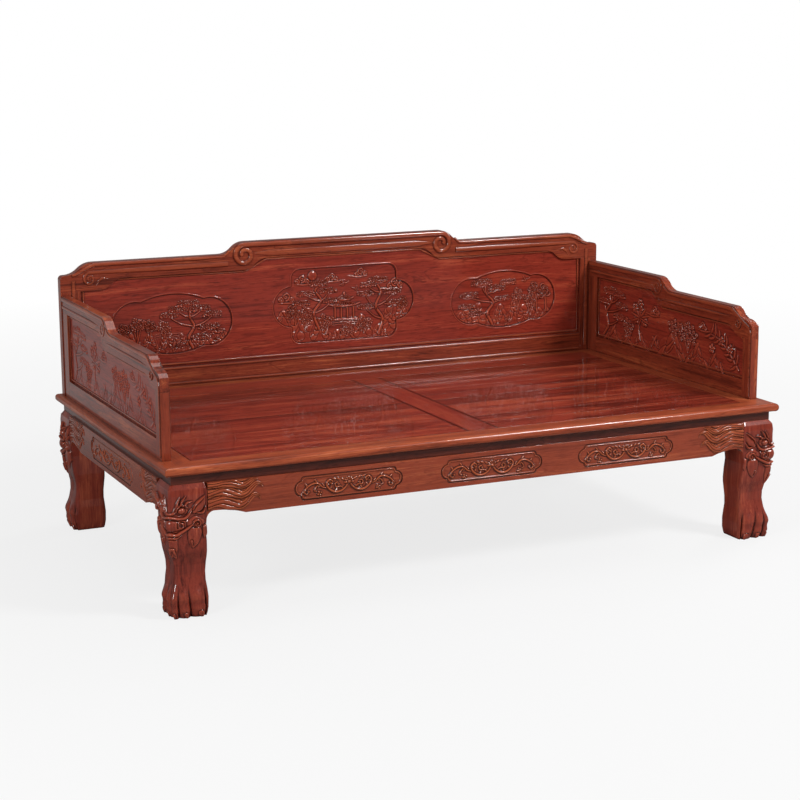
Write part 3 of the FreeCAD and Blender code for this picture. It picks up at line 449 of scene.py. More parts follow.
    def pine(self, root, bends, crowns, width, height, rng):
        """A pine with a winding trunk and a branch to each flat crown, given as (u, v, half length)."""
        trunk = [root, *bends]
        for u, v, half in crowns:
            start = min(trunk[1:], key=lambda place: abs(place[1] - v + half))
            middle = ((start[0] + u) / 2, min(start[1], v) + abs(start[1] - v) * 0.25)
            self.stroke([start, middle, (u, v - half * 0.2)], (width * 0.45, width * 0.25), height * 0.8)
        self.stroke(trunk, (width, width * 0.8, width * 0.5), height)
        line = smooth(trunk)
        for share in (0.2, 0.45, 0.7):
            spot = line[int(share * (len(line) - 1))]
            self.dome(spot, (width * 0.3, width * 0.45), height * 1.15, gap=GAP * 0.7)
        for u, v, half in crowns:
            self.crown((u, v), half, height * 0.85, rng)

    def tree(self, root, centre, size, height, rng, count):
        """A leafy tree or bush: a forked stem under a round head of small rosettes."""
        for lean in (-0.5, 0.1, 0.55):
            tip = (centre[0] + lean * size[0], centre[1] + size[1] * 0.3)
            self.stroke([root, ((root[0] + tip[0]) / 2 + lean * 0.004, (root[1] + tip[1]) / 2), tip],
                        (0.0032, 0.002, 0.0012), height * 0.7)
        count = round(count * 0.75)
        for index in range(count):
            angle = index * 2.4
            reach = math.sqrt((index + 0.5) / count)
            place = around(centre, angle, size[0] * reach, size[1] * reach)
            self.blossom(place, rng.uniform(0.0085, 0.011), height * rng.uniform(0.75, 1), 5, angle)

    def rock(self, foot, width, height, rise, rng):
        """A craggy rock: slanted slabs that overlap down its two slopes, over a broad swell."""
        self.dome((foot[0], foot[1] + height * 0.25), (width * 0.5, height * 0.55), rise * 0.45)
        for share in (0.12, 0.36, 0.6, 0.84):
            for way in (-1, 1):
                place = (foot[0] + way * width * 0.5 * (1 - share) * rng.uniform(0.4, 0.95),
                         foot[1] + height * (share - 0.1))
                self.dome(place, (width * rng.uniform(0.18, 0.27), height * 0.13 + 0.0025),
                          rise * rng.uniform(0.75, 1), -way * rng.uniform(0.6, 1.1))

    def swirl_tree(self, root, centre, size, height, rng):
        """A tree whose foliage is carved as overlapping curls."""
        self.stroke([root, ((root[0] + centre[0]) / 2 + 0.004, (root[1] + centre[1]) / 2), centre],
                    (0.0034, 0.002), height * 0.7)
        for index in range(8):
            angle = index * 2.4
            reach = size * 0.72 * math.sqrt((index + 0.3) / 8)
            place = around(centre, angle, reach, reach * 0.8)
            self.scroll(place, size * 0.34, rng.random(), rng.choice((-1.2, 1.2)), 0.0019, height)

    def bird(self, place, size, height, way=1):
        """A flying crane with spread wings."""
        u, v = place
        self.stroke([(u - way * size, v - size * 0.25), (u, v), (u + way * size * 0.9, v + size * 0.3)],
                    (size * 0.03, size * 0.12, size * 0.03), height)
        for lift in (0.8, -0.35):
            self.leaf((u, v), (u - way * size * 0.5, v + size * lift), size * 0.13, height, bend=0.2 * way)

    def cloud(self, centre, size, height, way=1):
        """A cloud of three curls with a drawn-out tail."""
        for shift, lift, scale in ((-0.6, -0.1, 0.7), (0.55, -0.15, 0.65), (0, 0.2, 1)):
            place = (centre[0] + way * shift * size, centre[1] + lift * size)
            self.scroll(place, size * 0.42 * scale, 0.75, way * 1.3, size * 0.09, height)
        self.stroke([(centre[0] - way * size * 0.8, centre[1] - size * 0.42),
                     (centre[0] + way * size * 0.4, centre[1] - size * 0.5),
                     (centre[0] + way * size * 1.9, centre[1] - size * 0.3)],
                    (size * 0.05, size * 0.1, size * 0.02), height * 0.8)

    def pavilion(self, foot, size, height):
        """A small open pavilion with a hipped roof of upturned eaves."""
        u, v = foot
        for share in (-0.36, -0.12, 0.12, 0.36):
            self.stroke([(u + share * size, v), (u + share * size, v + size * 0.5)],
                        (size * 0.035, size * 0.03), height * 0.8)
        self.stroke([(u - size * 0.5, v), (u + size * 0.5, v)], (size * 0.045, size * 0.045), height)
        for lift, reach in ((0.5, 0.62), (0.72, 0.36)):
            eave = v + lift * size
            self.stroke([(u - reach * size, eave + size * 0.07), (u - reach * size * 0.5, eave),
                         (u + reach * size * 0.5, eave), (u + reach * size, eave + size * 0.07)],
                        (size * 0.02, size * 0.05, size * 0.02), height)
            for share in np.linspace(-0.7, 0.7, 9):
                self.stroke([(u + share * reach * size, eave + size * 0.03),
                             (u + share * reach * size * 0.35, eave + size * 0.17)],
                            (size * 0.022, size * 0.012), height * 0.8, ridge=True, gap=0.0005)
        self.dome((u, v + size * 0.93), (size * 0.05, size * 0.07), height)

    def grass(self, root, size, height, rng):
        """A tuft of pointed blades."""
        for lean in np.linspace(-0.9, 0.9, BLADES):
            length = size * rng.uniform(0.7, 1)
            tip = (root[0] + length * math.sin(lean), root[1] + length * math.cos(lean))
            self.leaf(root, tip, 0.0016, height, bend=-lean * 0.12)

    def crease(self):
        """How far each place lies below the mean of its neighbourhood, plus the painted shade laid on it,
        from -1 to 1.
        """
        blurred = self.height
        width = 2 * CREASE_CELLS + 1
        for axis in (0, 1):
            margins = [(CREASE_CELLS + 1, CREASE_CELLS) if a == axis else (0, 0) for a in (0, 1)]
            total = np.cumsum(np.pad(blurred, margins, mode="edge"), axis=axis)
            upper, lower = np.split(total, [width], axis=axis)[1], np.split(total, [-width], axis=axis)[0]
            blurred = (upper - lower) / width
        return np.clip((blurred - self.height) / self.depth + self.shade, -1, 1)


class Build:
    """Points and faces of one mesh piece, gathered from closed parts."""

    def __init__(self):
        self.points, self.faces, self.creases = [], [], []

    def add(self, points, faces, creases=None):
        first = len(self.points)
        self.points += np.asarray(points).tolist()
        self.faces += [[first + index for index in face] for face in faces]
        self.creases += list(creases) if creases is not None else [0.0] * len(points)

    def strip(self, path, radii, height, place, closed=False, power=0.8):
        """A rounded moulding along a line on a face, sunk a little into it."""
        path = np.asarray(path, float)
        share = np.concatenate([[0], np.cumsum(np.hypot(*np.diff(path, axis=0).T))])
        share /= share[-1]
        steps = np.linspace(0, 1, len(radii))
        if closed:
            before, after = np.roll(path, 1, axis=0), np.roll(path, -1, axis=0)
        else:
            knots = np.union1d(share, steps)
            path = np.column_stack([np.interp(knots, share, row) for row in path.T])
            share = knots
            before, after = np.vstack([path[:1], path[:-1]]), np.vstack([path[1:], path[-1:]])
        way = after - before
        way /= np.linalg.norm(way, axis=1)[:, None]
        side = np.column_stack([-way[:, 1], way[:, 0]])
        radius = np.interp(share, steps, radii)
        turn = np.linspace(0, math.pi, STRIP_SIDES)
        across = np.concatenate([np.cos(turn), [-1, 1]])
        up = np.concatenate([np.clip(np.sin(turn), 0, 1) ** power * height, [-STRIP_SUNK, -STRIP_SUNK]])
        spots = path[:, None, :] + side[:, None, :] * (radius[:, None] * across)[..., None]
        lift = np.where(up > 0, up * (radius / radius.max())[:, None], up)
        points = place(spots[..., 0].ravel(), spots[..., 1].ravel(), lift.ravel())
        # Painted shade along the moulding's foot, turning into painted highlight along its crest
        foot, fall = STRIP_SHADE_AND_HIGHLIGHT
        creases = np.tile(np.concatenate([foot - fall * np.sin(turn), [1, 1]]), len(path))
        self.add(points, sleeve(len(path), len(across), closed), creases)

    def relief(self, relief, place, keep=None):
        """A closed block with the relief as its face; place turns (u, v, height) into points."""
        u, v = np.meshgrid(relief.u, relief.v)
        number = np.arange(u.size).reshape(u.shape)
        quads = np.stack([number[:-1, :-1], number[:-1, 1:], number[1:, 1:], number[1:, :-1]], -1)
        if keep is not None:
            quads = quads[keep[:-1, :-1] & keep[:-1, 1:] & keep[1:, 1:] & keep[1:, :-1]]
        used, quads = np.unique(quads.reshape(-1, 4), return_inverse=True)
        faces = quads.reshape(-1, 4).tolist()
        u, v, height = u.ravel()[used], v.ravel()[used], relief.height.ravel()[used]
        points = place(u, v, height + PROUD).tolist()
        rear = place(u, v, np.full(len(used), CARVING_BACK))
        creases = relief.crease().ravel()[used].tolist()
        for loop in borders(faces):
            first = len(points)
            points += rear[loop].tolist()
            creases += [0.0] * len(loop)
            count = len(loop)
            faces += [[loop[(i + 1) % count], loop[i], first + i, first + (i + 1) % count]
                      for i in range(count)]
            faces.append([first + i for i in reversed(range(count))])
        self.add(points, faces, creases)

    def piece(self, name, material, body, slot, node=None):
        """Makes the mesh object, which rides on a body and may replace a node."""
        mesh = bpy.data.meshes.new(name)
        mesh.from_pydata(self.points, [], self.faces)
        mesh.update()
        shape = bmesh.new()
        shape.from_mesh(mesh)
        bmesh.ops.recalc_face_normals(shape, faces=shape.faces)
        for face in shape.faces:
            face.smooth = len(face.verts) == 4
        shape.to_mesh(mesh)
        shape.free()
        mesh.attributes.new("crease", "FLOAT", "POINT").data.foreach_set("value", self.creases)
        mesh.set_sharp_from_angle(angle=math.radians(SHARP_ANGLE))
        mesh.materials.append(material)
        piece = bpy.data.objects.new(name, mesh)
        bpy.context.scene.collection.objects.link(piece)
        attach(piece, body)
        if node:
            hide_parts(node)


def sleeve(rows, count, closed=False):
    """Faces that join rings of points one after another, with closed ends unless the rings go round."""
    faces = [[row * count + i, row * count + (i + 1) % count,
              (row + 1) % rows * count + (i + 1) % count, (row + 1) % rows * count + i]
             for row in range(rows if closed else rows - 1) for i in range(count)]
    if not closed:
        faces += [list(range(count))[::-1], [(rows - 1) * count + i for i in range(count)]]
    return faces


def borders(faces):
    """The closed borders of a sheet of faces, each as a list of point numbers."""
    edges = set()
    for face in faces:
        for a, b in zip(face, face[1:] + face[:1]):
            if (b, a) in edges:
                edges.remove((b, a))
            else:
                edges.add((a, b))
    following = {}
    for a, b in sorted(edges):
        following.setdefault(a, []).append(b)
    loops = []
    while following:
        start = here = next(iter(following))
        loop = []
        while True:
            loop.append(here)
            onward = following[here].pop()
            if not following[here]:
                del following[here]
            here = onward
            if here == start:
                break
        loops.append(loop)
    return loops


def on_front(depth):
    """Places (x, z) on a face towards -Y."""
    return lambda u, v, height: np.column_stack([u, depth - height, v])


def on_end(side, face, outward):
    """Places (y, z) on a face of the left (-1) or right (1) end, looking outward or inward."""
    way = side if outward else -side
    return lambda u, v, height: np.column_stack([side * face + way * height, u, v])


# The back board's carved fields: the middle of the right one, the level of the centre one, and the
# right half of each outline as points (u, v, bulge of what follows)
QUARTER_ROUND = 0.2071
END_FIELD_PLACE = (0.678, 0.708)
CENTRE_FIELD_LEVEL = 0.738
END_FIELD = [(0.1186, -0.0869, 0.245), (0.228, 0.0, 0.245), (0.1186, 0.0869, 0.098)]
CENTRE_FIELD = [
    (0.1786, -0.140, QUARTER_ROUND), (0.215, -0.1036, 0), (0.215, -0.077, 0.198), (0.287, 0.0, 0.198),
    (0.215, 0.077, 0), (0.215, 0.1036, QUARTER_ROUND), (0.1786, 0.140, 0),
]


def within(relief, loop, soft=0.005):
    """Lets the heights fade away towards a closed line and paints shade into the corner along it."""
    inset = relief.inset(loop)
    relief.height *= np.clip(inset / soft, 0, 1) ** 0.5
    shade, fall = EDGE_SHADE
    relief.shade = np.clip(shade - inset / fall, 0, 1)


def left_scene():
    """A great pine over rocks and a stream bank, with small trees beside it."""
    rng = random.Random(11)
    scene = Relief(-0.23, 0.23, -0.112, 0.112)
    for place in np.arange(-0.19, 0.2, 0.03):
        scene.rock((place, -0.1 + abs(place) * 0.12), 0.05, rng.uniform(0.02, 0.034), 0.003, rng)
    for place, foot, tall in ((-0.02, -0.08, 0.055), (-0.16, -0.07, 0.05), (0.03, -0.075, 0.04),
                              (-0.09, -0.078, 0.045), (0.13, -0.085, 0.035)):
        scene.rock((place, foot), 0.06, tall, 0.0038, rng)
    for level in (-0.052, -0.045, -0.037):
        ripple = [(-0.07, level), (-0.045, level + 0.003), (-0.01, level - 0.001), (0.04, level + 0.002)]
        scene.stroke(ripple, (0.0008, 0.0016, 0.0008), 0.002)
    scene.swirl_tree((-0.195, -0.06), (-0.185, -0.012), 0.03, 0.0042, rng)
    scene.tree((-0.135, -0.06), (-0.135, 0.004), (0.03, 0.022), 0.0044, rng, 12)
    scene.swirl_tree((-0.09, -0.055), (-0.085, -0.004), 0.028, 0.0042, rng)
    scene.tree((-0.035, -0.05), (-0.034, -0.012), (0.024, 0.018), 0.004, rng, 9)
    scene.pine((0.075, -0.095), [(0.06, -0.055), (0.082, -0.015), (0.066, 0.02), (0.07, 0.05)],
               [(-0.012, 0.03, 0.032), (0.14, -0.022, 0.042), (0.022, 0.05, 0.036), (0.152, 0.026, 0.034),
                (0.11, -0.056, 0.034), (0.062, 0.07, 0.04), (0.108, 0.048, 0.036), (0.175, -0.04, 0.024)],
               0.006, 0.0052, rng)
    scene.grass((0.02, -0.09), 0.022, 0.0036, rng)
    scene.grass((0.165, -0.075), 0.02, 0.0036, rng)
    within(scene, outline(END_FIELD))
    return scene


def right_scene():
    """A leaning pine on crags, with leafy trees to its right."""
    rng = random.Random(23)
    scene = Relief(-0.23, 0.23, -0.112, 0.112)
    for place in np.arange(-0.19, 0.2, 0.032):
        scene.rock((place, -0.1 + abs(place) * 0.12), 0.052, rng.uniform(0.02, 0.036), 0.003, rng)
    for place, tall in ((-0.165, 0.06), (-0.11, 0.085), (-0.015, 0.07), (0.05, 0.085), (0.09, 0.06),
                        (0.0, 0.045)):
        scene.rock((place, -0.085), 0.065, tall, 0.004, rng)
    scene.tree((0.12, -0.07), (0.125, -0.01), (0.034, 0.03), 0.0044, rng, 16)
    scene.swirl_tree((0.19, -0.06), (0.18, 0.02), 0.036, 0.0044, rng)
    scene.swirl_tree((0.15, -0.06), (0.135, 0.035), 0.03, 0.0042, rng)
    scene.tree((0.06, -0.05), (0.065, 0.012), (0.028, 0.022), 0.0042, rng, 10)
    scene.pine((-0.05, -0.095), [(-0.07, -0.05), (-0.045, -0.01), (-0.075, 0.025), (-0.08, 0.05)],
               [(-0.16, -0.022, 0.034), (-0.005, 0.002, 0.032), (-0.15, 0.022, 0.038), (-0.03, 0.044, 0.036),
                (-0.095, 0.068, 0.044), (0.02, 0.064, 0.034), (-0.12, -0.05, 0.03)], 0.0058, 0.0052, rng)
    scene.bird((0.1, 0.07), 0.02, 0.0036)
    scene.grass((0.02, -0.09), 0.022, 0.0036, rng)
    within(scene, outline(END_FIELD))
    return scene


def centre_scene():
    """A pavilion among trees and clouds, with the sun above."""
    rng = random.Random(37)
    scene = Relief(-0.29, 0.29, -0.142, 0.142)
    for place in np.arange(-0.2, 0.21, 0.034):
        scene.rock((place, -0.136), 0.055, rng.uniform(0.025, 0.048), 0.003, rng)
    for place, foot, tall in ((-0.245, -0.06, 0.05), (-0.19, -0.1, 0.09), (-0.15, -0.115, 0.12),
                              (-0.1, -0.12, 0.07), (0.02, -0.125, 0.06), (0.07, -0.12, 0.08),
                              (0.185, -0.1, 0.08), (0.235, -0.07, 0.06)):
        scene.rock((place, foot), 0.075, tall, 0.0042, rng)
    scene.cloud((-0.235, 0.032), 0.036, 0.0036)
    scene.cloud((-0.17, 0.096), 0.034, 0.0036)
    scene.cloud((-0.05, 0.098), 0.03, 0.0034)
    scene.cloud((0.07, 0.112), 0.03, 0.0034, -1)
    scene.cloud((0.21, 0.06), 0.038, 0.0036, -1)
    scene.dome((-0.128, 0.112), (0.018, 0.018), 0.0062)
    scene.bird((0.0, 0.075), 0.022, 0.0038)
    scene.bird((0.045, 0.052), 0.018, 0.0036, -1)
    scene.pavilion((0.0, -0.062), 0.105, 0.005)
    for level in (-0.083, -0.075, -0.067):
        scene.stroke([(-0.06, level), (-0.02, level + 0.003), (0.05, level), (0.1, level + 0.002)],
                     (0.001, 0.0022, 0.001), 0.003)
    scene.swirl_tree((-0.2, -0.07), (-0.21, -0.02), 0.034, 0.0046, rng)
    scene.tree((-0.16, -0.09), (-0.155, -0.035), (0.032, 0.028), 0.0046, rng, 15)
    scene.tree((-0.075, -0.115), (-0.08, -0.065), (0.034, 0.026), 0.0046, rng, 14)
    scene.pine((-0.105, -0.09), [(-0.125, -0.03), (-0.095, 0.015), (-0.118, 0.055), (-0.1, 0.072)],
               [(-0.175, 0.01, 0.034), (-0.055, 0.012, 0.03), (-0.155, 0.045, 0.034), (-0.065, 0.05, 0.032),
                (-0.105, 0.08, 0.036)], 0.0058, 0.0054, rng)
    scene.pine((0.14, -0.125), [(0.158, -0.07), (0.13, -0.02), (0.152, 0.03), (0.138, 0.062)],
               [(0.09, -0.022, 0.032), (0.205, -0.012, 0.036), (0.088, 0.03, 0.032), (0.2, 0.03, 0.034),
                (0.14, 0.08, 0.04), (0.1, 0.062, 0.03)], 0.0062, 0.0054, rng)
    scene.swirl_tree((0.235, -0.06), (0.24, -0.012), 0.028, 0.0044, rng)
    scene.tree((0.08, -0.12), (0.078, -0.085), (0.032, 0.022), 0.0044, rng, 12)
    scene.tree((0.01, -0.125), (0.01, -0.1), (0.03, 0.018), 0.0042, rng, 10)
    within(scene, outline(CENTRE_FIELD))
    return scene


def side_scene():
    """Pine, flowers and rocks along an end railing, over (y, z)."""
    rng = random.Random(53)
    scene = Relief(-0.49, 0.522, 0.54, 0.784, SIDE_GRID)
    for place in np.arange(-0.3, 0.5, 0.1):
        scene.rock((place, 0.552), 0.13, rng.uniform(0.03, 0.05), 0.0042, rng)
    scene.rock((-0.03, 0.552), 0.2, 0.09, 0.005, rng)
    scene.rock((-0.19, 0.555), 0.15, 0.06, 0.0046, rng)
    scene.pine((0.47, 0.56), [(0.44, 0.6), (0.455, 0.65), (0.42, 0.69), (0.41, 0.72)],
               [(0.36, 0.64, 0.042), (0.47, 0.69, 0.04), (0.345, 0.685, 0.042), (0.43, 0.735, 0.05),
                (0.36, 0.728, 0.04)], 0.0065, 0.0056, rng)
    scene.tree((0.3, 0.56), (0.29, 0.612), (0.04, 0.03), 0.005, rng, 16)
    scene.stroke([(0.2, 0.575), (0.215, 0.62), (0.198, 0.66)], (0.0036, 0.0024), 0.0045)
    for u, v in ((0.198, 0.682), (0.229, 0.655), (0.171, 0.65), (0.205, 0.715), (0.243, 0.695)):
        scene.blossom((u, v), 0.02, 0.0052, 6)
    for angle in np.linspace(-0.4, 3.5, 7):
        scene.leaf((0.205, 0.66), around((0.205, 0.662), angle, 0.07, 0.052), 0.007, 0.0036)
    scene.cloud((0.1, 0.7), 0.036, 0.0036)
    scene.cloud((-0.22, 0.69), 0.032, 0.0036, -1)
    scene.tree((-0.13, 0.58), (-0.125, 0.65), (0.066, 0.04), 0.0054, rng, 30)
    scene.tree((-0.04, 0.6), (-0.03, 0.66), (0.036, 0.03), 0.005, rng, 14)
    stem = [(-0.455, 0.568), (-0.42, 0.6), (-0.375, 0.635), (-0.33, 0.66), (-0.275, 0.672)]
    scene.stroke(stem, (0.004, 0.003, 0.0015), 0.0046)
    for u, v in smooth(stem, 2)[1:]:
        for way in (-1, 1):
            angle = 0.75 + way * rng.uniform(0.7, 1.3)
            size = rng.uniform(0.034, 0.05)
            scene.leaf((u, v), around((u, v), angle, size, size), 0.0075, 0.0042, bend=0.1 * way)
    for u, v in ((-0.345, 0.655), (-0.4, 0.635), (-0.285, 0.62)):
        scene.blossom((u, v), 0.019, 0.0056, 5, 0.4)
    scene.height *= (scene.v[:, None] < side_opening(scene.u)[None, :] - SIDE_MARGIN)
    return scene


def side_opening(y):
    """The top of an end railing's opening over y."""
    return np.interp(y, *SIDE_OPENING)


# Half of the vine of an apron field, in metres from the middle: two main stems and their tendrils
GREAT_SCROLL = [(0.002, 0.006), (0.012, -0.010), (0.030, -0.021), (0.052, -0.021), (0.071, -0.007),
                (0.076, 0.008), (0.067, 0.018), (0.057, 0.013), (0.059, 0.005)]
OUTER_VINE = [(0.072, -0.008), (0.089, -0.003), (0.106, 0.011), (0.127, 0.010), (0.146, -0.002),
              (0.151, -0.015), (0.142, -0.021), (0.137, -0.013)]
INNER_TENDRIL = [(0.018, -0.014), (0.03, -0.006), (0.044, -0.006), (0.047, 0.004), (0.039, 0.008),
                 (0.036, 0.001)]
OUTER_TENDRIL = [(0.1, 0.008), (0.112, -0.001), (0.117, -0.012), (0.11, -0.015)]


def vine_scene(half):
    """A lotus between two scrolling vines, for a long field of an apron."""
    scene = Relief(-half - 0.002, half + 0.002, -0.041, 0.041)
    for way in (-half / APRON_FIELD_HALVES[0], half / APRON_FIELD_HALVES[0]):
        side = np.array([way, 1])
        outer = smooth(OUTER_VINE, 4) * side
        for index in range(3, 20, 3):
            root = outer[index]
            lean = 1 if index % 2 else -0.75
            scene.leaf(root, root + side * (0.007, 0.0125 * lean), 0.0038, 0.0045, bend=0.15 * way)
        scene.stroke(OUTER_TENDRIL * side, (0.0014, 0.0022, 0.0016), 0.0048)
        scene.blossom(np.array((0.1, -0.022)) * side, 0.009, 0.0045, 4, 0.4)
        scene.stroke(OUTER_VINE * side, (0.0015, 0.0028, 0.0026, 0.0016), 0.0054)
        great = smooth(GREAT_SCROLL, 4) * side
        for index in range(7, 26, 4):
            scene.leaf(great[index], great[index] * (0.86, 0.3) + (0, 0.002), 0.0038, 0.004, bend=0.12 * way)
        scene.stroke(INNER_TENDRIL * side, (0.0014, 0.0024, 0.0015), 0.005)
        scene.stroke(GREAT_SCROLL * side, (0.0018, 0.0035, 0.0034, 0.002), 0.0062)
        for u, v in ((0.0595, 0.006), (0.137, -0.013), (0.036, 0.001)):
            scene.dome(np.array((u, v)) * side, (0.0034, 0.0034), 0.0064)
        for u, v, lift in ((0.014, 0.012, 0.013), (0.03, 0.016, 0.009), (0.044, 0.018, 0.006)):
            scene.leaf(np.array((u, v)) * side, np.array((u + 0.013, v + lift * 0.6)) * side, 0.004, 0.0045)
    for angle in np.linspace(0.02, 0.98, 7) * math.pi:
        scene.leaf((0, 0.004), around((0, 0.004), angle, 0.018, 0.021), 0.0052, 0.0052)
    scene.dome((0, 0.006), (0.006, 0.0055), 0.0066)
    return scene


def vine_outline(half):
    """The stepped round-ended outline of an apron's field."""
    rise, shoulder = APRON_FIELD_RISE, APRON_FIELD_STEP
    neck, step = half - rise * 0.82, half - rise * 0.54
    return outline([
        (neck, -rise, QUARTER_ROUND), (step, -shoulder, QUARTER_ROUND), (half, 0.0, QUARTER_ROUND),
        (step, shoulder, QUARTER_ROUND), (neck, rise, 0),
    ])


def carve_back(material):
    """The carved fields of the back board, each with a fine lip round its edge."""
    out, half, rise = BACK_LIP
    for name, across, level, make, corners in (
            ("left", -END_FIELD_PLACE[0], END_FIELD_PLACE[1], left_scene, END_FIELD),
            ("centre", 0.0, CENTRE_FIELD_LEVEL, centre_scene, CENTRE_FIELD),
            ("right", *END_FIELD_PLACE, right_scene, END_FIELD)):
        scene = make()
        scene.u += across
        scene.v += level
        build = Build()
        build.relief(scene, on_front(BACK_FIELD_FLOOR))
        loop = outline(corners)
        loop *= 1 + out / np.abs(loop).max(axis=0)
        build.strip(loop + (across, level), (half, half), rise, on_front(BACK_BOARD_FACE), closed=True)
        build.piece(f"back_carving_{name}", material, "back_railing", "panel")


def carve_sides(material):
    """The carving on both faces of both end boards, lower outside than inside."""
    scene = side_scene()
    keep = scene.v[:, None] < side_opening(scene.u)[None, :] + SIDE_LAP
    full = scene.height
    for side, name in ENDS:
        for outward, face in zip((False, True), SIDE_BOARD_FACES):
            scene.height = full * (OUTER_SHARE if outward else 1.0)
            build = Build()
            build.relief(scene, on_end(side, face, outward), keep=keep)
            build.piece(f"side_carving_{'outer' if outward else 'inner'}_{name}", material,
                        f"{name}_railing", "panel")


def carve_aprons(long_wood, end_wood):
    """The vines in the aprons' fields, each with a lip inside its edge."""
    front_half, end_half = APRON_FIELD_HALVES
    inside, lip_half, lip_rise = APRON_LIP
    fields = [(f"front_{index + 2}", on_front(APRON_FIELD_DEPTH - APRON_FACE), long_wood, front_half,
               index * APRON_FIELD_PITCH, 1.0) for index in (-1, 0, 1)]
    fields += [(name, on_end(side, APRON_END_FACE - APRON_FIELD_DEPTH, True), end_wood, end_half, 0.0,
                END_SHARE) for side, name in ENDS]
    for name, face, wood, half, shift, rise in fields:
        scene = vine_scene(half)
        scene.height *= rise
        loop = vine_outline(half)
        within(scene, loop, 0.003)
        place = (lambda u, v, height, face=face, shift=shift: face(u + shift, v + APRON_FIELD_LEVEL, height))
        build = Build()
        build.relief(scene, place)
        shrink = 1 - inside / np.array([half, APRON_FIELD_RISE])
        build.strip(loop * shrink, (lip_half, lip_half), lip_rise * rise, place, closed=True)
        build.piece(f"apron_carving_{name}", wood, "base", "apron")


# Locks of the beasts' manes on the aprons: distance from the leg, level and half width, the root first
LOCKS = (
    [(0.078, 0.4255, 0.005), (0.105, 0.4185, 0.0055), (0.123, 0.4195, 0.005), (0.142, 0.427, 0.003)],
    [(0.0, 0.349, 0.016), (0.028, 0.356, 0.0165), (0.054, 0.358, 0.018), (0.08, 0.347, 0.018),
     (0.103, 0.339, 0.016), (0.122, 0.346, 0.0125), (0.137, 0.361, 0.009), (0.15, 0.368, 0.006),
     (0.164, 0.364, 0.0035), (0.171, 0.353, 0.001)],
    [(0.0, 0.382, 0.0135), (0.028, 0.389, 0.0135), (0.053, 0.393, 0.0145), (0.08, 0.383, 0.015),
     (0.104, 0.3725, 0.0135), (0.125, 0.377, 0.0125), (0.142, 0.392, 0.009), (0.157, 0.402, 0.006),
     (0.172, 0.4, 0.0035), (0.18, 0.388, 0.001)],
    [(0.0, 0.411, 0.0105), (0.028, 0.4115, 0.011), (0.053, 0.4145, 0.0095), (0.08, 0.411, 0.011),
     (0.105, 0.4015, 0.012), (0.123, 0.4035, 0.0105), (0.138, 0.412, 0.0075), (0.15, 0.418, 0.004),
     (0.162, 0.4185, 0.001)],
)

# Where a lock's strands lie, as shares of its half width, the nearest last
STRAND_SHARES = (-0.64, 0.64, 0.0)

# The lowest level that a mane keeps, over the distance from the leg
MANE_FOOT = ((0.03, 0.104, 0.117, 0.13), (0.333, 0.3225, 0.3185, 0.3165))

# The bracket beside a leg: its reach, foot and top, its lap into the leg and how far it lies behind the face
WING_SIZES = (0.026, 0.3065, 0.34)
WING_LAP = 0.004
WING_SETBACK = 0.0002


def mane_scene():
    """Wavy locks of strands, over the distance from the leg and the level."""
    mane = Relief(0.0, 0.19, 0.318, 0.421, 0.001)
    mane.depth = MANE_CREASE_DEPTH
    for lock in LOCKS:
        line = smooth(lock, 6)
        path, half = line[:, :2], line[:, 2]
        way = np.gradient(path, axis=0)
        side = np.column_stack([-way[:, 1], way[:, 0]]) / np.hypot(*way.T)[:, None]
        run = np.concatenate([[0], np.cumsum(np.hypot(*np.diff(path, axis=0).T))])
        radii = np.interp(np.linspace(0, run[-1], len(run)), run, half)
        mane.stroke(path, radii, 0.0034, 0.001, gap=0.0024, count=1)
        for share in STRAND_SHARES:
            wander = 1 + 0.4 * np.sin(run * 65 + share * 4)
            bent = path + side * (share * half * wander)[:, None]
            mane.stroke(bent, radii * 0.35 + 0.0003, 0.0034, 0.002, gap=0.001, count=1)
    return mane


def wing(build, place, thickness):
    """The rounded bracket between a leg and its apron: distance from the leg, and level."""
    corner, low, high = WING_SIZES
    curve = arc((-WING_LAP, low), (corner, low + corner), -QUARTER_ROUND, 10)
    loop = np.vstack([curve, [(corner, high), (-WING_LAP, high)]])
    count = len(loop)
    points = np.vstack([place(loop[:, 0], loop[:, 1], np.full(count, depth))
                        for depth in (-WING_SETBACK, -thickness)])
    faces = [list(range(count)), list(range(count, 2 * count))[::-1]]
    faces += [[i, (i + 1) % count, count + (i + 1) % count, count + i] for i in range(count)]
    build.add(points, faces)


def carve_manes(long_wood, end_wood):
    """The manes that run from each leg along the aprons."""
    mane = mane_scene()
    raised = mane.height > 0
    for _ in range(2):
        raised[1:-1, 1:-1] |= (raised[:-2, 1:-1] | raised[2:, 1:-1] | raised[1:-1, :-2] | raised[1:-1, 2:])
    low = np.interp(mane.u, *MANE_FOOT)
    keep = raised & (mane.v[:, None] > low[None, :])
    for wood, end in ((long_wood, False), (end_wood, True)):
        if end:
            mane.height *= END_SHARE
        for side, name in ENDS:
            for depth, row in ROWS:
                def place(u, v, height):
                    if end:
                        along = depth * (LEG_INNER[1] - u)
                        return np.column_stack([side * (APRON_END_FACE + height), along, v])
                    return np.column_stack([side * (LEG_INNER[0] - u), depth * (APRON_FACE + height), v])
                build = Build()
                build.relief(mane, place, keep=keep)
                wing(build, place, APRON_THICKNESS)
                build.piece(f"mane_{row}_{name}" + ("_end" if end else ""), wood, "base", "apron")


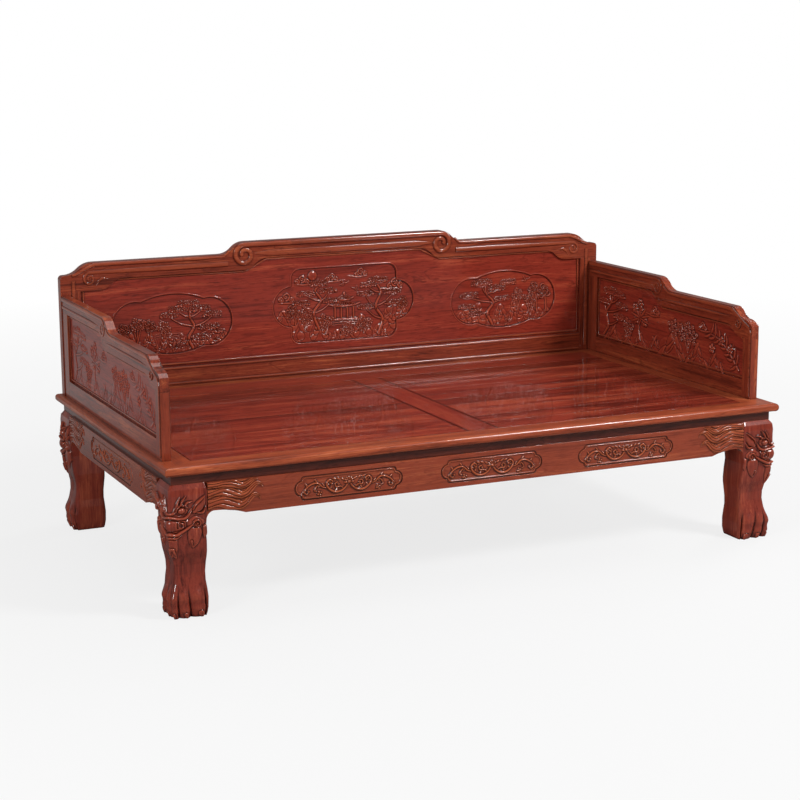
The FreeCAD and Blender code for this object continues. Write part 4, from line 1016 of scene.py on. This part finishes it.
def trim_sides(material):
    """Raised bands, curls and beads on both faces of the end railings."""
    for side, name in ENDS:
        build = Build()
        for outward, face in zip((False, True), SIDE_FACES):
            place = on_end(side, face, outward)
            curl = spiral((0.078, 0.797), 0.031, 0.006, 0.25, 1.4, 20)
            build.strip([(0.575, 0.828), (0.079, 0.828), *curl], (0.0085, 0.0085, 0.0075, 0.005, 0.0025),
                        BAND_HEIGHT, place, power=0.6)
            build.strip([(0.575, 0.8), (0.122, 0.8)], (*[0.006] * 6, 0.001), 0.003, place)
            fall = [(0.035, 0.805), (0.01, 0.79), (-0.03, 0.784), (-0.2, 0.784), (-0.415, 0.784)]
            build.strip(smooth(fall), (0.004, 0.008, 0.008, 0.008), BAND_HEIGHT, place, power=0.6)
            build.strip([(0.045, 0.755), (-0.4, 0.755)], (0.001, *[0.0055] * 5, 0.001), 0.003, place)
            nose = smooth([(-0.415, 0.784), (-0.45, 0.765), (-0.485, 0.747), (-0.517, 0.733)])
            front = [*nose, (-0.527, 0.722), (-0.529, 0.7), (-0.529, 0.49)]
            build.strip(front, (0.008, 0.006), BAND_HEIGHT, place, power=0.6)
            curl = spiral((-0.452, 0.736), 0.02, 0.004, 0.3, 1.3, 20)
            build.strip(curl, (0.0055, 0.003), BAND_HEIGHT, place)
        for outward, face in zip((False, True), SIDE_BOARD_FACES):
            place = on_end(side, face, outward)
            opening = [(y, side_opening(y) - 0.007) for y in np.linspace(0.513, -0.478, 60)]
            loop = [(0.513, 0.55), *opening, (-0.481, 0.68), (-0.481, 0.55)]
            build.strip(loop, (0.0036, 0.0036), BAND_HEIGHT, place, closed=True)
        build.piece(f"side_trim_{name}", material, f"{name}_railing", "frame")


def trim_back(material):
    """Raised bands with curls, and the beads round the opening and along the foot of the back railing."""
    place = on_front(BACK_FACE)
    build = Build()
    right_curl = spiral((0.4, 0.9455), 0.037, 0.0095, 0.25, -1.3, 24, ease=1.5)
    left_curl = right_curl * (-1, 1)
    crest = np.vstack([left_curl[::-1], right_curl])
    build.strip(crest, (0.0085, 0.01, 0.0108, 0.0108, 0.0108, 0.01, 0.0085), 0.008, place)
    build.strip([(-0.36, 0.948), (0.36, 0.948)], (0.002, *[0.0125] * 12, 0.002), BAND_HEIGHT, place,
                power=0.4)
    for way in (-1, 1):
        shoulder = smooth([(0.459, 0.962), (0.478, 0.947), (0.52, 0.943), (0.93, 0.943), (0.966, 0.942),
                           (1.0, 0.929), (1.03, 0.914), (1.046, 0.908)], 5)
        build.strip(shoulder * (way, 1), (0.004, 0.0075, 0.0075, 0.0075, 0.006), 0.006, place)
        curl = spiral((0.983, 0.892), 0.0235, 0.005, 0.25, -1.35, 22)
        build.strip(np.vstack([[(0.464, 0.9155), (0.93, 0.9155)], curl]) * (way, 1),
                    (0.0095, 0.0105, 0.008, 0.004), 0.005, place, power=0.6)
        stile = np.array([(1.043, 0.888), (1.043, 0.5)])
        build.strip(stile * (way, 1), (0.008, 0.008), 0.003, place, power=0.4)
        leaf = smooth([(0.915, 0.889), (0.935, 0.893), (0.95, 0.883), (0.96, 0.868)], 5)
        build.strip(leaf * (way, 1), (0.001, 0.006, 0.001), 0.004, place)
    right = [(1.007, 0.5605), (1.007, 0.8575), (0.981, 0.8595), (0.951, 0.8775), (0.926, 0.8845),
             (0.399, 0.8845), (0.356, 0.9035), (0.313, 0.9255)]
    loop = np.array(right + [(-u, v) for u, v in reversed(right)])
    build.strip(loop, (0.0042, 0.0042), BAND_HEIGHT, on_front(BACK_BOARD_FACE), closed=True)
    for level in (0.489, 0.545):
        build.strip([(-1.012, level), (1.012, level)], (0.0045, 0.0045), 0.0035, place)
    build.piece("back_trim", material, "back_railing", "frame")


# How far a leg's outer and inner faces stand out from the plain block, and its corner rounding, by level
LEG_LEVELS = (0.0, 0.01, 0.027, 0.059, 0.084, 0.11, 0.138, 0.165, 0.188, 0.204, 0.238, 0.273, 0.299, 0.323,
              0.348, 0.389, 0.408, 0.422)
LEG_OUTSETS = (-0.007, -0.004, -0.001, 0.001, -0.003, -0.010, -0.015, -0.015, -0.011, -0.007, -0.002, 0.0,
               0.002, 0.002, 0.004, 0.005, 0.003, -0.006)
LEG_INSETS = (0.006, 0.003, 0.0, -0.001, 0.001, 0.004, 0.004, 0.002, 0.0, 0.0, 0.002, 0.005,
              0.003, 0.001, 0.0, 0.0, 0.0, 0.0)
LEG_ROUNDS = (0.012, 0.014, 0.016, 0.018, 0.018, 0.016, 0.014, 0.012, 0.011, 0.010, 0.008, 0.007,
              0.007, 0.006, 0.006, 0.006, 0.007, 0.012)

# Toes: the middle, as a distance from the outer arris, and half the width, on a face of the given width
TOES = ((0.0, 0.0215), (0.041, 0.0205), (0.089, 0.0285))
TOE_FACE = 0.118

# The level where the leg's carving ends, and the band beside its far edge over which it fades away
LEG_CARVING_TOP = 0.42
LEG_CARVING_EDGE = (0.012, 0.006)


def hump(place, centre, spread):
    """A bell curve, 1 at its centre."""
    return np.exp(-((place - centre) / spread) ** 2)


def beast_mask():
    """Half of the mask and paw on a leg, over the distance from its outer arris and the level."""
    mask = Relief(0.0, 0.13, 0.0, LEG_HEIGHT)
    mask.groove = MASK_GROOVE_SHARE
    u, v = np.meshgrid(mask.u, mask.v)
    width = np.interp(mask.v, LEG_LEVELS, np.array(LEG_OUTSETS) - np.array(LEG_INSETS)) + LEG_WIDTH
    spread = (u / width[:, None]) * TOE_FACE
    strength = np.clip((0.12 - v) / 0.078, 0, 1)
    strength = strength ** 2 * (3 - 2 * strength)
    toes = np.zeros(u.shape)
    knuckles = 0.66 + 0.4 * hump(v, 0.07, 0.022) + 0.2 * hump(v, 0.026, 0.013)
    for centre, half in TOES:
        lean = centre * (1 - 0.22 * np.clip(v / 0.12, 0, 1))
        share = np.clip(np.abs(spread - lean) / half, 0, 1)
        toes = np.maximum(toes, (1 - share ** 2) ** 0.8 * knuckles)
    calf = hump(spread, 0.062, 0.016) * hump(v, 0.165, 0.035)
    dark_band = hump(v, 0.195, 0.022) * np.clip((spread - 0.02) / 0.03, 0, 1)
    mask.height += toes * strength * 0.021 - strength * 0.013 - calf * 0.003
    # Painted shade in the grooves between the toes and in the calf's valley, and a darker band across the
    # ankle
    mask.shade = np.clip(0.5 - toes, 0, 1) * strength * 1.3 + calf * 0.25 + dark_band * 0.3
    for centre, half in TOES:
        mask.stroke([(centre, 0.013), (centre, 0.003)], (half * 0.35, half * 0.2), 0.003, 0.003, gap=0.0012)

    # A swelling under the face, with beard and cheek lobes under the mouth
    mask.height += 0.0092 * np.exp(-(u / 0.055) ** 2 - ((v - 0.302) / 0.034) ** 2)
    mask.stroke([(0.0, 0.258), (0.003, 0.225), (0.009, 0.195)], (0.021, 0.017, 0.003), 0.0075, gap=0.002)
    mask.stroke([(0.004, 0.225), (0.009, 0.203)], (0.0045, 0.002), 0.0105)
    mask.stroke([(0.076, 0.27), (0.072, 0.245), (0.068, 0.224)], (0.024, 0.018, 0.003), 0.0075, gap=0.002)
    mask.stroke([(0.064, 0.245), (0.066, 0.232)], (0.0045, 0.002), 0.0105)
    mask.stroke([(0.112, 0.285), (0.111, 0.27), (0.106, 0.252)], (0.009, 0.009, 0.002), 0.0065, gap=0.002)
    # Muzzle, nostril and curls
    mask.stroke([(0.0, 0.3), (0.03, 0.299), (0.056, 0.307)], (0.019, 0.017, 0.008), 0.0112)
    mask.stroke([(0.06, 0.3), (0.075, 0.305), (0.1, 0.302)], (0.01, 0.019, 0.01), 0.0055)
    mask.stroke([(0.0225, 0.294), (0.025, 0.309), (0.037, 0.314), (0.047, 0.306), (0.045, 0.294)],
                (0.0025, 0.004, 0.0022), 0.012)
    mask.stroke([(0.032, 0.299), (0.035, 0.297)], (0.0045, 0.004), 0.0015)
    mask.scroll((0.086, 0.299), 0.013, 0.45, -1.1, 0.0036, 0.0105)
    # Lips
    mask.stroke([(0.0, 0.262), (0.014, 0.259), (0.03, 0.265)], (0.006, 0.0055, 0.002), 0.0092)
    mask.stroke([(0.0, 0.273), (0.016, 0.269), (0.038, 0.279), (0.056, 0.288), (0.073, 0.299)],
                (0.006, 0.0058, 0.0048, 0.002), 0.0122)
    # Brow, eye and its lids
    mask.stroke([(0.004, 0.336), (0.014, 0.34), (0.0215, 0.352), (0.0265, 0.369), (0.035, 0.385)],
                (0.0045, 0.005, 0.0034, 0.0012), 0.009)
    mask.dome((0.038, 0.344), (0.021, 0.0145), 0.0065)
    mask.dome((0.037, 0.3445), (0.0125, 0.0105), 0.0135)
    mask.stroke([(0.018, 0.34), (0.027, 0.356), (0.043, 0.36), (0.058, 0.351)],
                (0.0024, 0.0036, 0.002), 0.0105)
    mask.stroke([(0.0, 0.3275), (0.02, 0.321), (0.043, 0.3195), (0.058, 0.328), (0.071, 0.347)],
                (0.0055, 0.0052, 0.0045, 0.0018), 0.0122)
    # Ear and flame tufts
    mask.stroke([(0.079, 0.338), (0.092, 0.349), (0.105, 0.362), (0.1145, 0.38)],
                (0.007, 0.014, 0.01, 0.002), 0.008, gap=0.0018)
    mask.stroke([(0.075, 0.344), (0.083, 0.359), (0.098, 0.372), (0.115, 0.384)],
                (0.0022, 0.0036, 0.0016), 0.0125)
    mask.stroke([(0.088, 0.333), (0.104, 0.332), (0.115, 0.347)], (0.0022, 0.0036, 0.0016), 0.0115)
    mask.stroke([(0.036, 0.361), (0.041, 0.373), (0.054, 0.388)], (0.0034, 0.0032, 0.001), 0.009)
    mask.stroke([(0.05, 0.36), (0.058, 0.368), (0.074, 0.37)], (0.0034, 0.0032, 0.001), 0.0085)
    return mask


def leg_section(level):
    """Points round a leg at one level from its outer arris, with normals and the way from the arris."""
    outset, inset, rounding = (np.interp(level, LEG_LEVELS, row)
                               for row in (LEG_OUTSETS, LEG_INSETS, LEG_ROUNDS))
    outer, inner = LEG_POINTS
    high, low = LEG_WIDTH / 2 + outset, inset - LEG_WIDTH / 2
    size = high - low
    points, normals, ways = [], [], []
    corners = (((high, high), (-1, 0), (0, 1), outer), ((low, high), (0, -1), (-1, 0), inner),
               ((low, low), (1, 0), (0, -1), inner), ((high, low), (0, 1), (1, 0), outer))
    quarter = rounding * math.pi / 4
    total = size - 2 * rounding + 2 * quarter
    for index, (corner, way, out, count) in enumerate(corners):
        corner, way, out = np.array(corner), np.array(way, float), np.array(out, float)
        for run in np.linspace(0, total, count, endpoint=False):
            if run < quarter:
                angle = math.pi / 4 - run / rounding
                normal = out * math.cos(angle) - way * math.sin(angle)
                point = corner + (way - out) * rounding + normal * rounding
            elif run <= total - quarter:
                normal = out
                point = corner + way * (rounding + run - quarter)
            else:
                angle = (run - total + quarter) / rounding
                normal = out * math.cos(angle) + way * math.sin(angle)
                point = corner + way * (size - rounding) - out * rounding + normal * rounding
            points.append(point)
            normals.append(normal)
            ways.append({0: run, 3: total - run}.get(index, 1.0))
    return np.array(points), np.array(normals), np.array(ways) + rounding - quarter


def carve_legs(material):
    """Beast-mask legs with claw feet in place of the plain ones."""
    mask = beast_mask()
    crease = mask.crease() * LEG_CREASE_SHARE
    margin, fade = LEG_CARVING_EDGE
    rings, shades = [], []
    for row, level in enumerate(mask.v):
        points, normals, ways = leg_section(level)
        rise = np.interp(ways, mask.u, mask.height[row], right=0)
        edge = np.clip((mask.u[-1] - margin - ways) / fade, 0, 1)
        if level > LEG_CARVING_TOP:
            rise = rise * 0
        rings.append(points + normals * (rise * edge)[:, None])
        shades.append(np.interp(ways, mask.u, crease[row], right=0) * edge)
    rings, shades = np.array(rings), np.array(shades)
    faces = sleeve(*shades.shape)
    centre = (LEG_INNER[0] + LEG_WIDTH / 2, LEG_INNER[1] + LEG_WIDTH / 2)
    for side, name in ENDS:
        for depth, row in ROWS:
            points = np.column_stack([
                side * (centre[0] + rings[..., 0].ravel()), depth * (centre[1] + rings[..., 1].ravel()),
                np.repeat(mask.v, shades.shape[1])])
            build = Build()
            build.add(points, faces, shades.ravel().tolist())
            build.piece(f"carved_leg_{row}_{name}", material, "base", "leg", f"leg_{row}_{name}")


def stretch(grain, along, across, scale):
    """Scales along X, Y and Z for a grain that runs along one of them."""
    return tuple(scale * (along if axis == grain else across) for axis in "XYZ")


def rosewood(name, grain, tones, seed, gloss=0.3, coat=0.9, contrast=1.0, scale=1.0, marks=1.0, gaps=None,
             boards=None):
    """Lacquered rosewood with its grain along one axis, painted shade in its hollows and inner corners and
    along the deck's gaps and panel arrises, and painted highlight on its ridges and, with wear, on its other
    arrises.

    boards is (first edge, board width) along Y, and gaps the (x, y) of the painted shade lines round a deck
    panel.
    """
    material = bpy.data.materials.new(name)
    material.use_nodes = True
    g = Graph(material.node_tree)
    spot = g.add("ShaderNodeTexCoord", out="Object")
    place = g.vector("ADD", spot, tuple(seed * share for share in SEED_SHIFT))
    tint = None
    if boards:
        edge, width = boards
        number = g.math("FLOOR", g.math("DIVIDE", g.math("SUBTRACT", g.axis(spot, 1), edge), width))
        tint = g.add("ShaderNodeTexWhiteNoise", {"W": number}, noise_dimensions="1D")
        jump = g.add("ShaderNodeCombineXYZ", {0: g.math("MULTIPLY", tint, 7.0), 1: number, 2: tint})
        place = g.vector("ADD", place, jump)

    def layer(sizes, scale=1.0, shift=None):
        along, across, detail, roughness = sizes
        stretched = g.vector("MULTIPLY", place, stretch(grain, along, across, scale))
        if shift is not None:
            stretched = g.vector("ADD", stretched, shift)
        return g.noise(stretched, detail, roughness)

    drift = g.math("MULTIPLY", g.centred(layer(WAVES, scale)), GRAIN_DRIFT)
    shift = g.add("ShaderNodeCombineXYZ", {0: drift, 1: drift, 2: drift})
    lines = layer(LINES, shift=shift)
    figure = g.math("MULTIPLY_ADD", layer(STREAKS, scale, shift), 0.5, g.math("MULTIPLY", lines, 0.3))
    figure = g.math("MULTIPLY_ADD", layer(MOTTLE, scale), 0.2, figure)
    if boards:
        figure = g.math("MULTIPLY_ADD", g.centred(layer(BANDS, shift=shift)), 0.5, figure)
        figure = g.math("MULTIPLY_ADD", g.centred(tint), 0.08, figure)
    figure = g.math("MULTIPLY_ADD", g.centred(figure), contrast, 0.5)
    dark, middle, light = tones
    colour = g.ramp(figure, list(zip(TONE_STOPS, (dark, middle, middle, light))))
    rings = g.math("ABSOLUTE", g.centred(layer(RINGS, shift=shift)))
    colour = g.mix(g.span(rings, 0.0, 0.012, VEIN_SHARE * marks, 0.0), colour, (*dark, 1))
    colour = g.mix(g.span(layer(FLECKS), 0.54, 0.68, 0.0, FLECK_SHARE * marks), colour, (*dark, 1))
    pore = g.math("GREATER_THAN", layer(PORES), 0.66)
    colour = g.mix(g.math("MULTIPLY", pore, PORE_SHARE), colour, (*dark, 1))
    # The crease paints shade into hollows and highlight onto ridges
    crease = g.add("ShaderNodeAttribute", attribute_name="crease", out="Fac")
    hollow_shade = g.span(crease, 0.0, FULL_CREASE, 0.0, HOLLOW_SHADE_SHARE)
    ridge = g.span(crease, 0.0, -FULL_CREASE, 0.0, RIDGE_HIGHLIGHT_SHARE)
    soft = g.add("ShaderNodeBevel", {"Radius": EDGE_ROUNDING}, samples=4)
    # Ambient occlusion paints shade into inner corners
    open_share = g.add("ShaderNodeAmbientOcclusion", {"Distance": CORNER_SHADE_REACH}, out="AO", samples=4)
    corner = g.span(open_share, 0.15, 0.8, CORNER_SHADE_SHARE, 0.0)
    shade = tuple(c * SHADE_OF_DARK for c in dark) + (1,)
    # Painted highlight on ridges, then painted shade in hollows and in inner corners
    colour = g.mix(ridge, colour, (*light, 1))
    colour = g.mix(hollow_shade, colour, shade)
    colour = g.mix(corner, colour, shade)
    # Softened arrises: painted shade along the deck panels' edges, wear and painted highlight elsewhere
    true_normal = g.add("ShaderNodeNewGeometry", out="Normal")
    facing = g.vector("DOT_PRODUCT", soft, true_normal, out=1)
    arris = g.span(facing, 0.85, 0.995, PANEL_ARRIS_SHADE_SHARE if gaps else ARRIS_WEAR_AND_HIGHLIGHT_SHARE, 0.0)
    colour = g.mix(arris, colour, shade if gaps else (*light, 1))
    # Painted shade lines along the deck panels' gaps
    if gaps:
        beside = g.math("SUBTRACT", g.math("ABSOLUTE", g.axis(spot, 0)), gaps[0])
        behind = g.math("SUBTRACT", g.axis(spot, 1), gaps[1])
        near = g.math("MINIMUM", g.math("ABSOLUTE", beside), g.math("ABSOLUTE", behind))
        colour = g.mix(g.span(near, *GAP_SHADE_LINE, GAP_SHADE_SHARE, 0.0), colour, shade)
    rough = g.math("MULTIPLY_ADD", lines, 0.12, gloss - 0.06)
    rough = g.math("MULTIPLY_ADD", hollow_shade, 0.3, rough)
    height = g.math("MULTIPLY_ADD", lines, 0.6, g.math("MULTIPLY", pore, -0.3))
    carved = g.math("GREATER_THAN", g.math("ABSOLUTE", crease), 0.02)
    round_edge = g.add("ShaderNodeMix", {0: carved, 4: soft, 5: true_normal}, out=1, data_type="VECTOR")
    bump = g.add("ShaderNodeBump", {
        "Strength": 0.25, "Distance": BUMP_HEIGHT, "Height": height, "Normal": round_edge})
    surface = g.add("ShaderNodeBsdfPrincipled", {
        "Base Color": colour, "Roughness": rough, "Normal": bump, "Coat Weight": coat,
        "Coat Roughness": COAT_ROUGHNESS, "Coat Normal": round_edge,
        "Specular IOR Level": UNDERCOAT_SPECULAR})
    g.add("ShaderNodeOutputMaterial", {"Surface": surface})
    return material


def make_studio():
    """A plain pale floor, a white surround and soft lamps."""
    bpy.ops.mesh.primitive_plane_add(size=FLOOR_SIZE)
    floor = bpy.context.object
    floor.name = "floor"
    material = bpy.data.materials.new("pale_floor")
    material.use_nodes = True
    g = Graph(material.node_tree)
    ray = g.add("ShaderNodeLightPath", out="Is Camera Ray")
    gloss = g.add("ShaderNodeLightPath", out="Is Glossy Ray")
    matt = g.add("ShaderNodeBsdfDiffuse", {"Color": g.mix(gloss, FLOOR_GREY, MIRRORED_GREY)})
    glow = g.add("ShaderNodeEmission", {"Color": WHITE, "Strength": 1.0})
    spot = g.add("ShaderNodeTexCoord", out="Object")
    far = g.span(g.vector("LENGTH", spot, out=1), *GLOW_REACH, GLOW_NEAR, 1.0)
    distant = g.span(g.axis(spot, 1), *MIRROR_REACH, 0.0, MIRROR_GLOW)
    share = g.math("MAXIMUM", g.math("MULTIPLY", ray, far), g.math("MULTIPLY", gloss, distant))
    lifted = g.add("ShaderNodeMixShader", {0: share, 1: matt, 2: glow})
    g.add("ShaderNodeOutputMaterial", {"Surface": lifted})
    floor.data.materials.append(material)

    world = bpy.data.worlds.new("surround")
    bpy.context.scene.world = world
    world.use_nodes = True
    g = Graph(world.node_tree)
    ray = g.add("ShaderNodeLightPath", out="Is Camera Ray")
    gloss = g.add("ShaderNodeLightPath", out="Is Glossy Ray")
    plain = g.math("MULTIPLY_ADD", gloss, WORLD_IN_MIRROR - WORLD_LIGHT, WORLD_LIGHT)
    strength = g.math("MAXIMUM", ray, plain)
    shell = g.add("ShaderNodeBackground", {"Color": WHITE, "Strength": strength})
    g.add("ShaderNodeOutputWorld", {"Surface": shell})

    for name, place, aim, size, power in LAMPS:
        lamp = bpy.data.lights.new(name, "AREA")
        lamp.shape = "SQUARE"
        lamp.size = size
        lamp.energy = power
        holder = bpy.data.objects.new(name, lamp)
        holder.location = place
        holder.rotation_euler = (Vector(aim) - Vector(place)).to_track_quat("-Z", "Y").to_euler()
        bpy.context.scene.collection.objects.link(holder)


def dress_nodes():
    """Gives each carried-over node its wood, grained along the piece, and returns the woods by name."""
    woods = {}
    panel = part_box("deck_boards_front_right")
    gaps = (panel[0].x, panel[1].y)
    for node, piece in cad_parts.items():
        low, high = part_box(node)
        size = high - low
        grain = "XYZ"[max(range(3), key=lambda axis: size[axis])]
        kind = node.split("_")[0]
        more = {}
        if node.startswith("deck_boards"):
            kind, tones = f"deck_{node.split('_')[2]}", RED_WOOD
            grain = "X"
            boards = (low.y, size.y / DECK_BOARDS)
            more = {"gloss": 0.24, "coat": 1.0, "contrast": 1.3, "gaps": gaps, "boards": boards}
        elif "batten" in node or "bearer" in node or "key" in node:
            kind, tones = "inner", PLAIN_WOOD
            more = {"gloss": 0.5}
        elif kind == "waist":
            tones = SHADED_WAIST_WOOD
        elif kind == "centre":
            tones = RED_WOOD
            more = {"gloss": 0.24, "coat": 1.0, "gaps": (gaps[0], low.y)}
        elif "board" in node:
            kind, tones = "board", RED_WOOD
            grain = "X" if size.x > size.y else "Y"
            more = {"contrast": 0.85, "coat": 0.9 if grain == "X" else 0.65}
        elif kind == "leg":
            tones, grain = LEG_WOOD, "Z"
            more = {"scale": 0.5, "marks": 0.4}
        elif kind == "apron":
            tones = BROWN_WOOD
            more = {"contrast": 0.7, "marks": 0.5, "gloss": 0.24, "coat": 1.0}
        elif kind == "seat":
            tones = LIP_WOOD_WITH_LIGHT
            more = {"coat": 0.6}
        else:
            kind, tones = "frame", FRAME_WOOD
        name = f"{kind}_{grain}"
        if name not in woods:
            woods[name] = rosewood(name, grain, tones, len(woods) + 1, **more)
        piece.data.materials.clear()
        piece.data.materials.append(woods[name])
    return woods


make_camera()
make_studio()
woods = dress_nodes()
carve_back(woods["board_X"])
carve_sides(woods["board_Y"])
carve_aprons(woods["apron_X"], woods["apron_Y"])
carve_manes(woods["apron_X"], woods["apron_Y"])
trim_sides(woods["frame_Y"])
trim_back(woods["frame_X"])
carve_legs(woods["leg_Z"])

bpy.context.scene.view_settings.view_transform = "Standard"
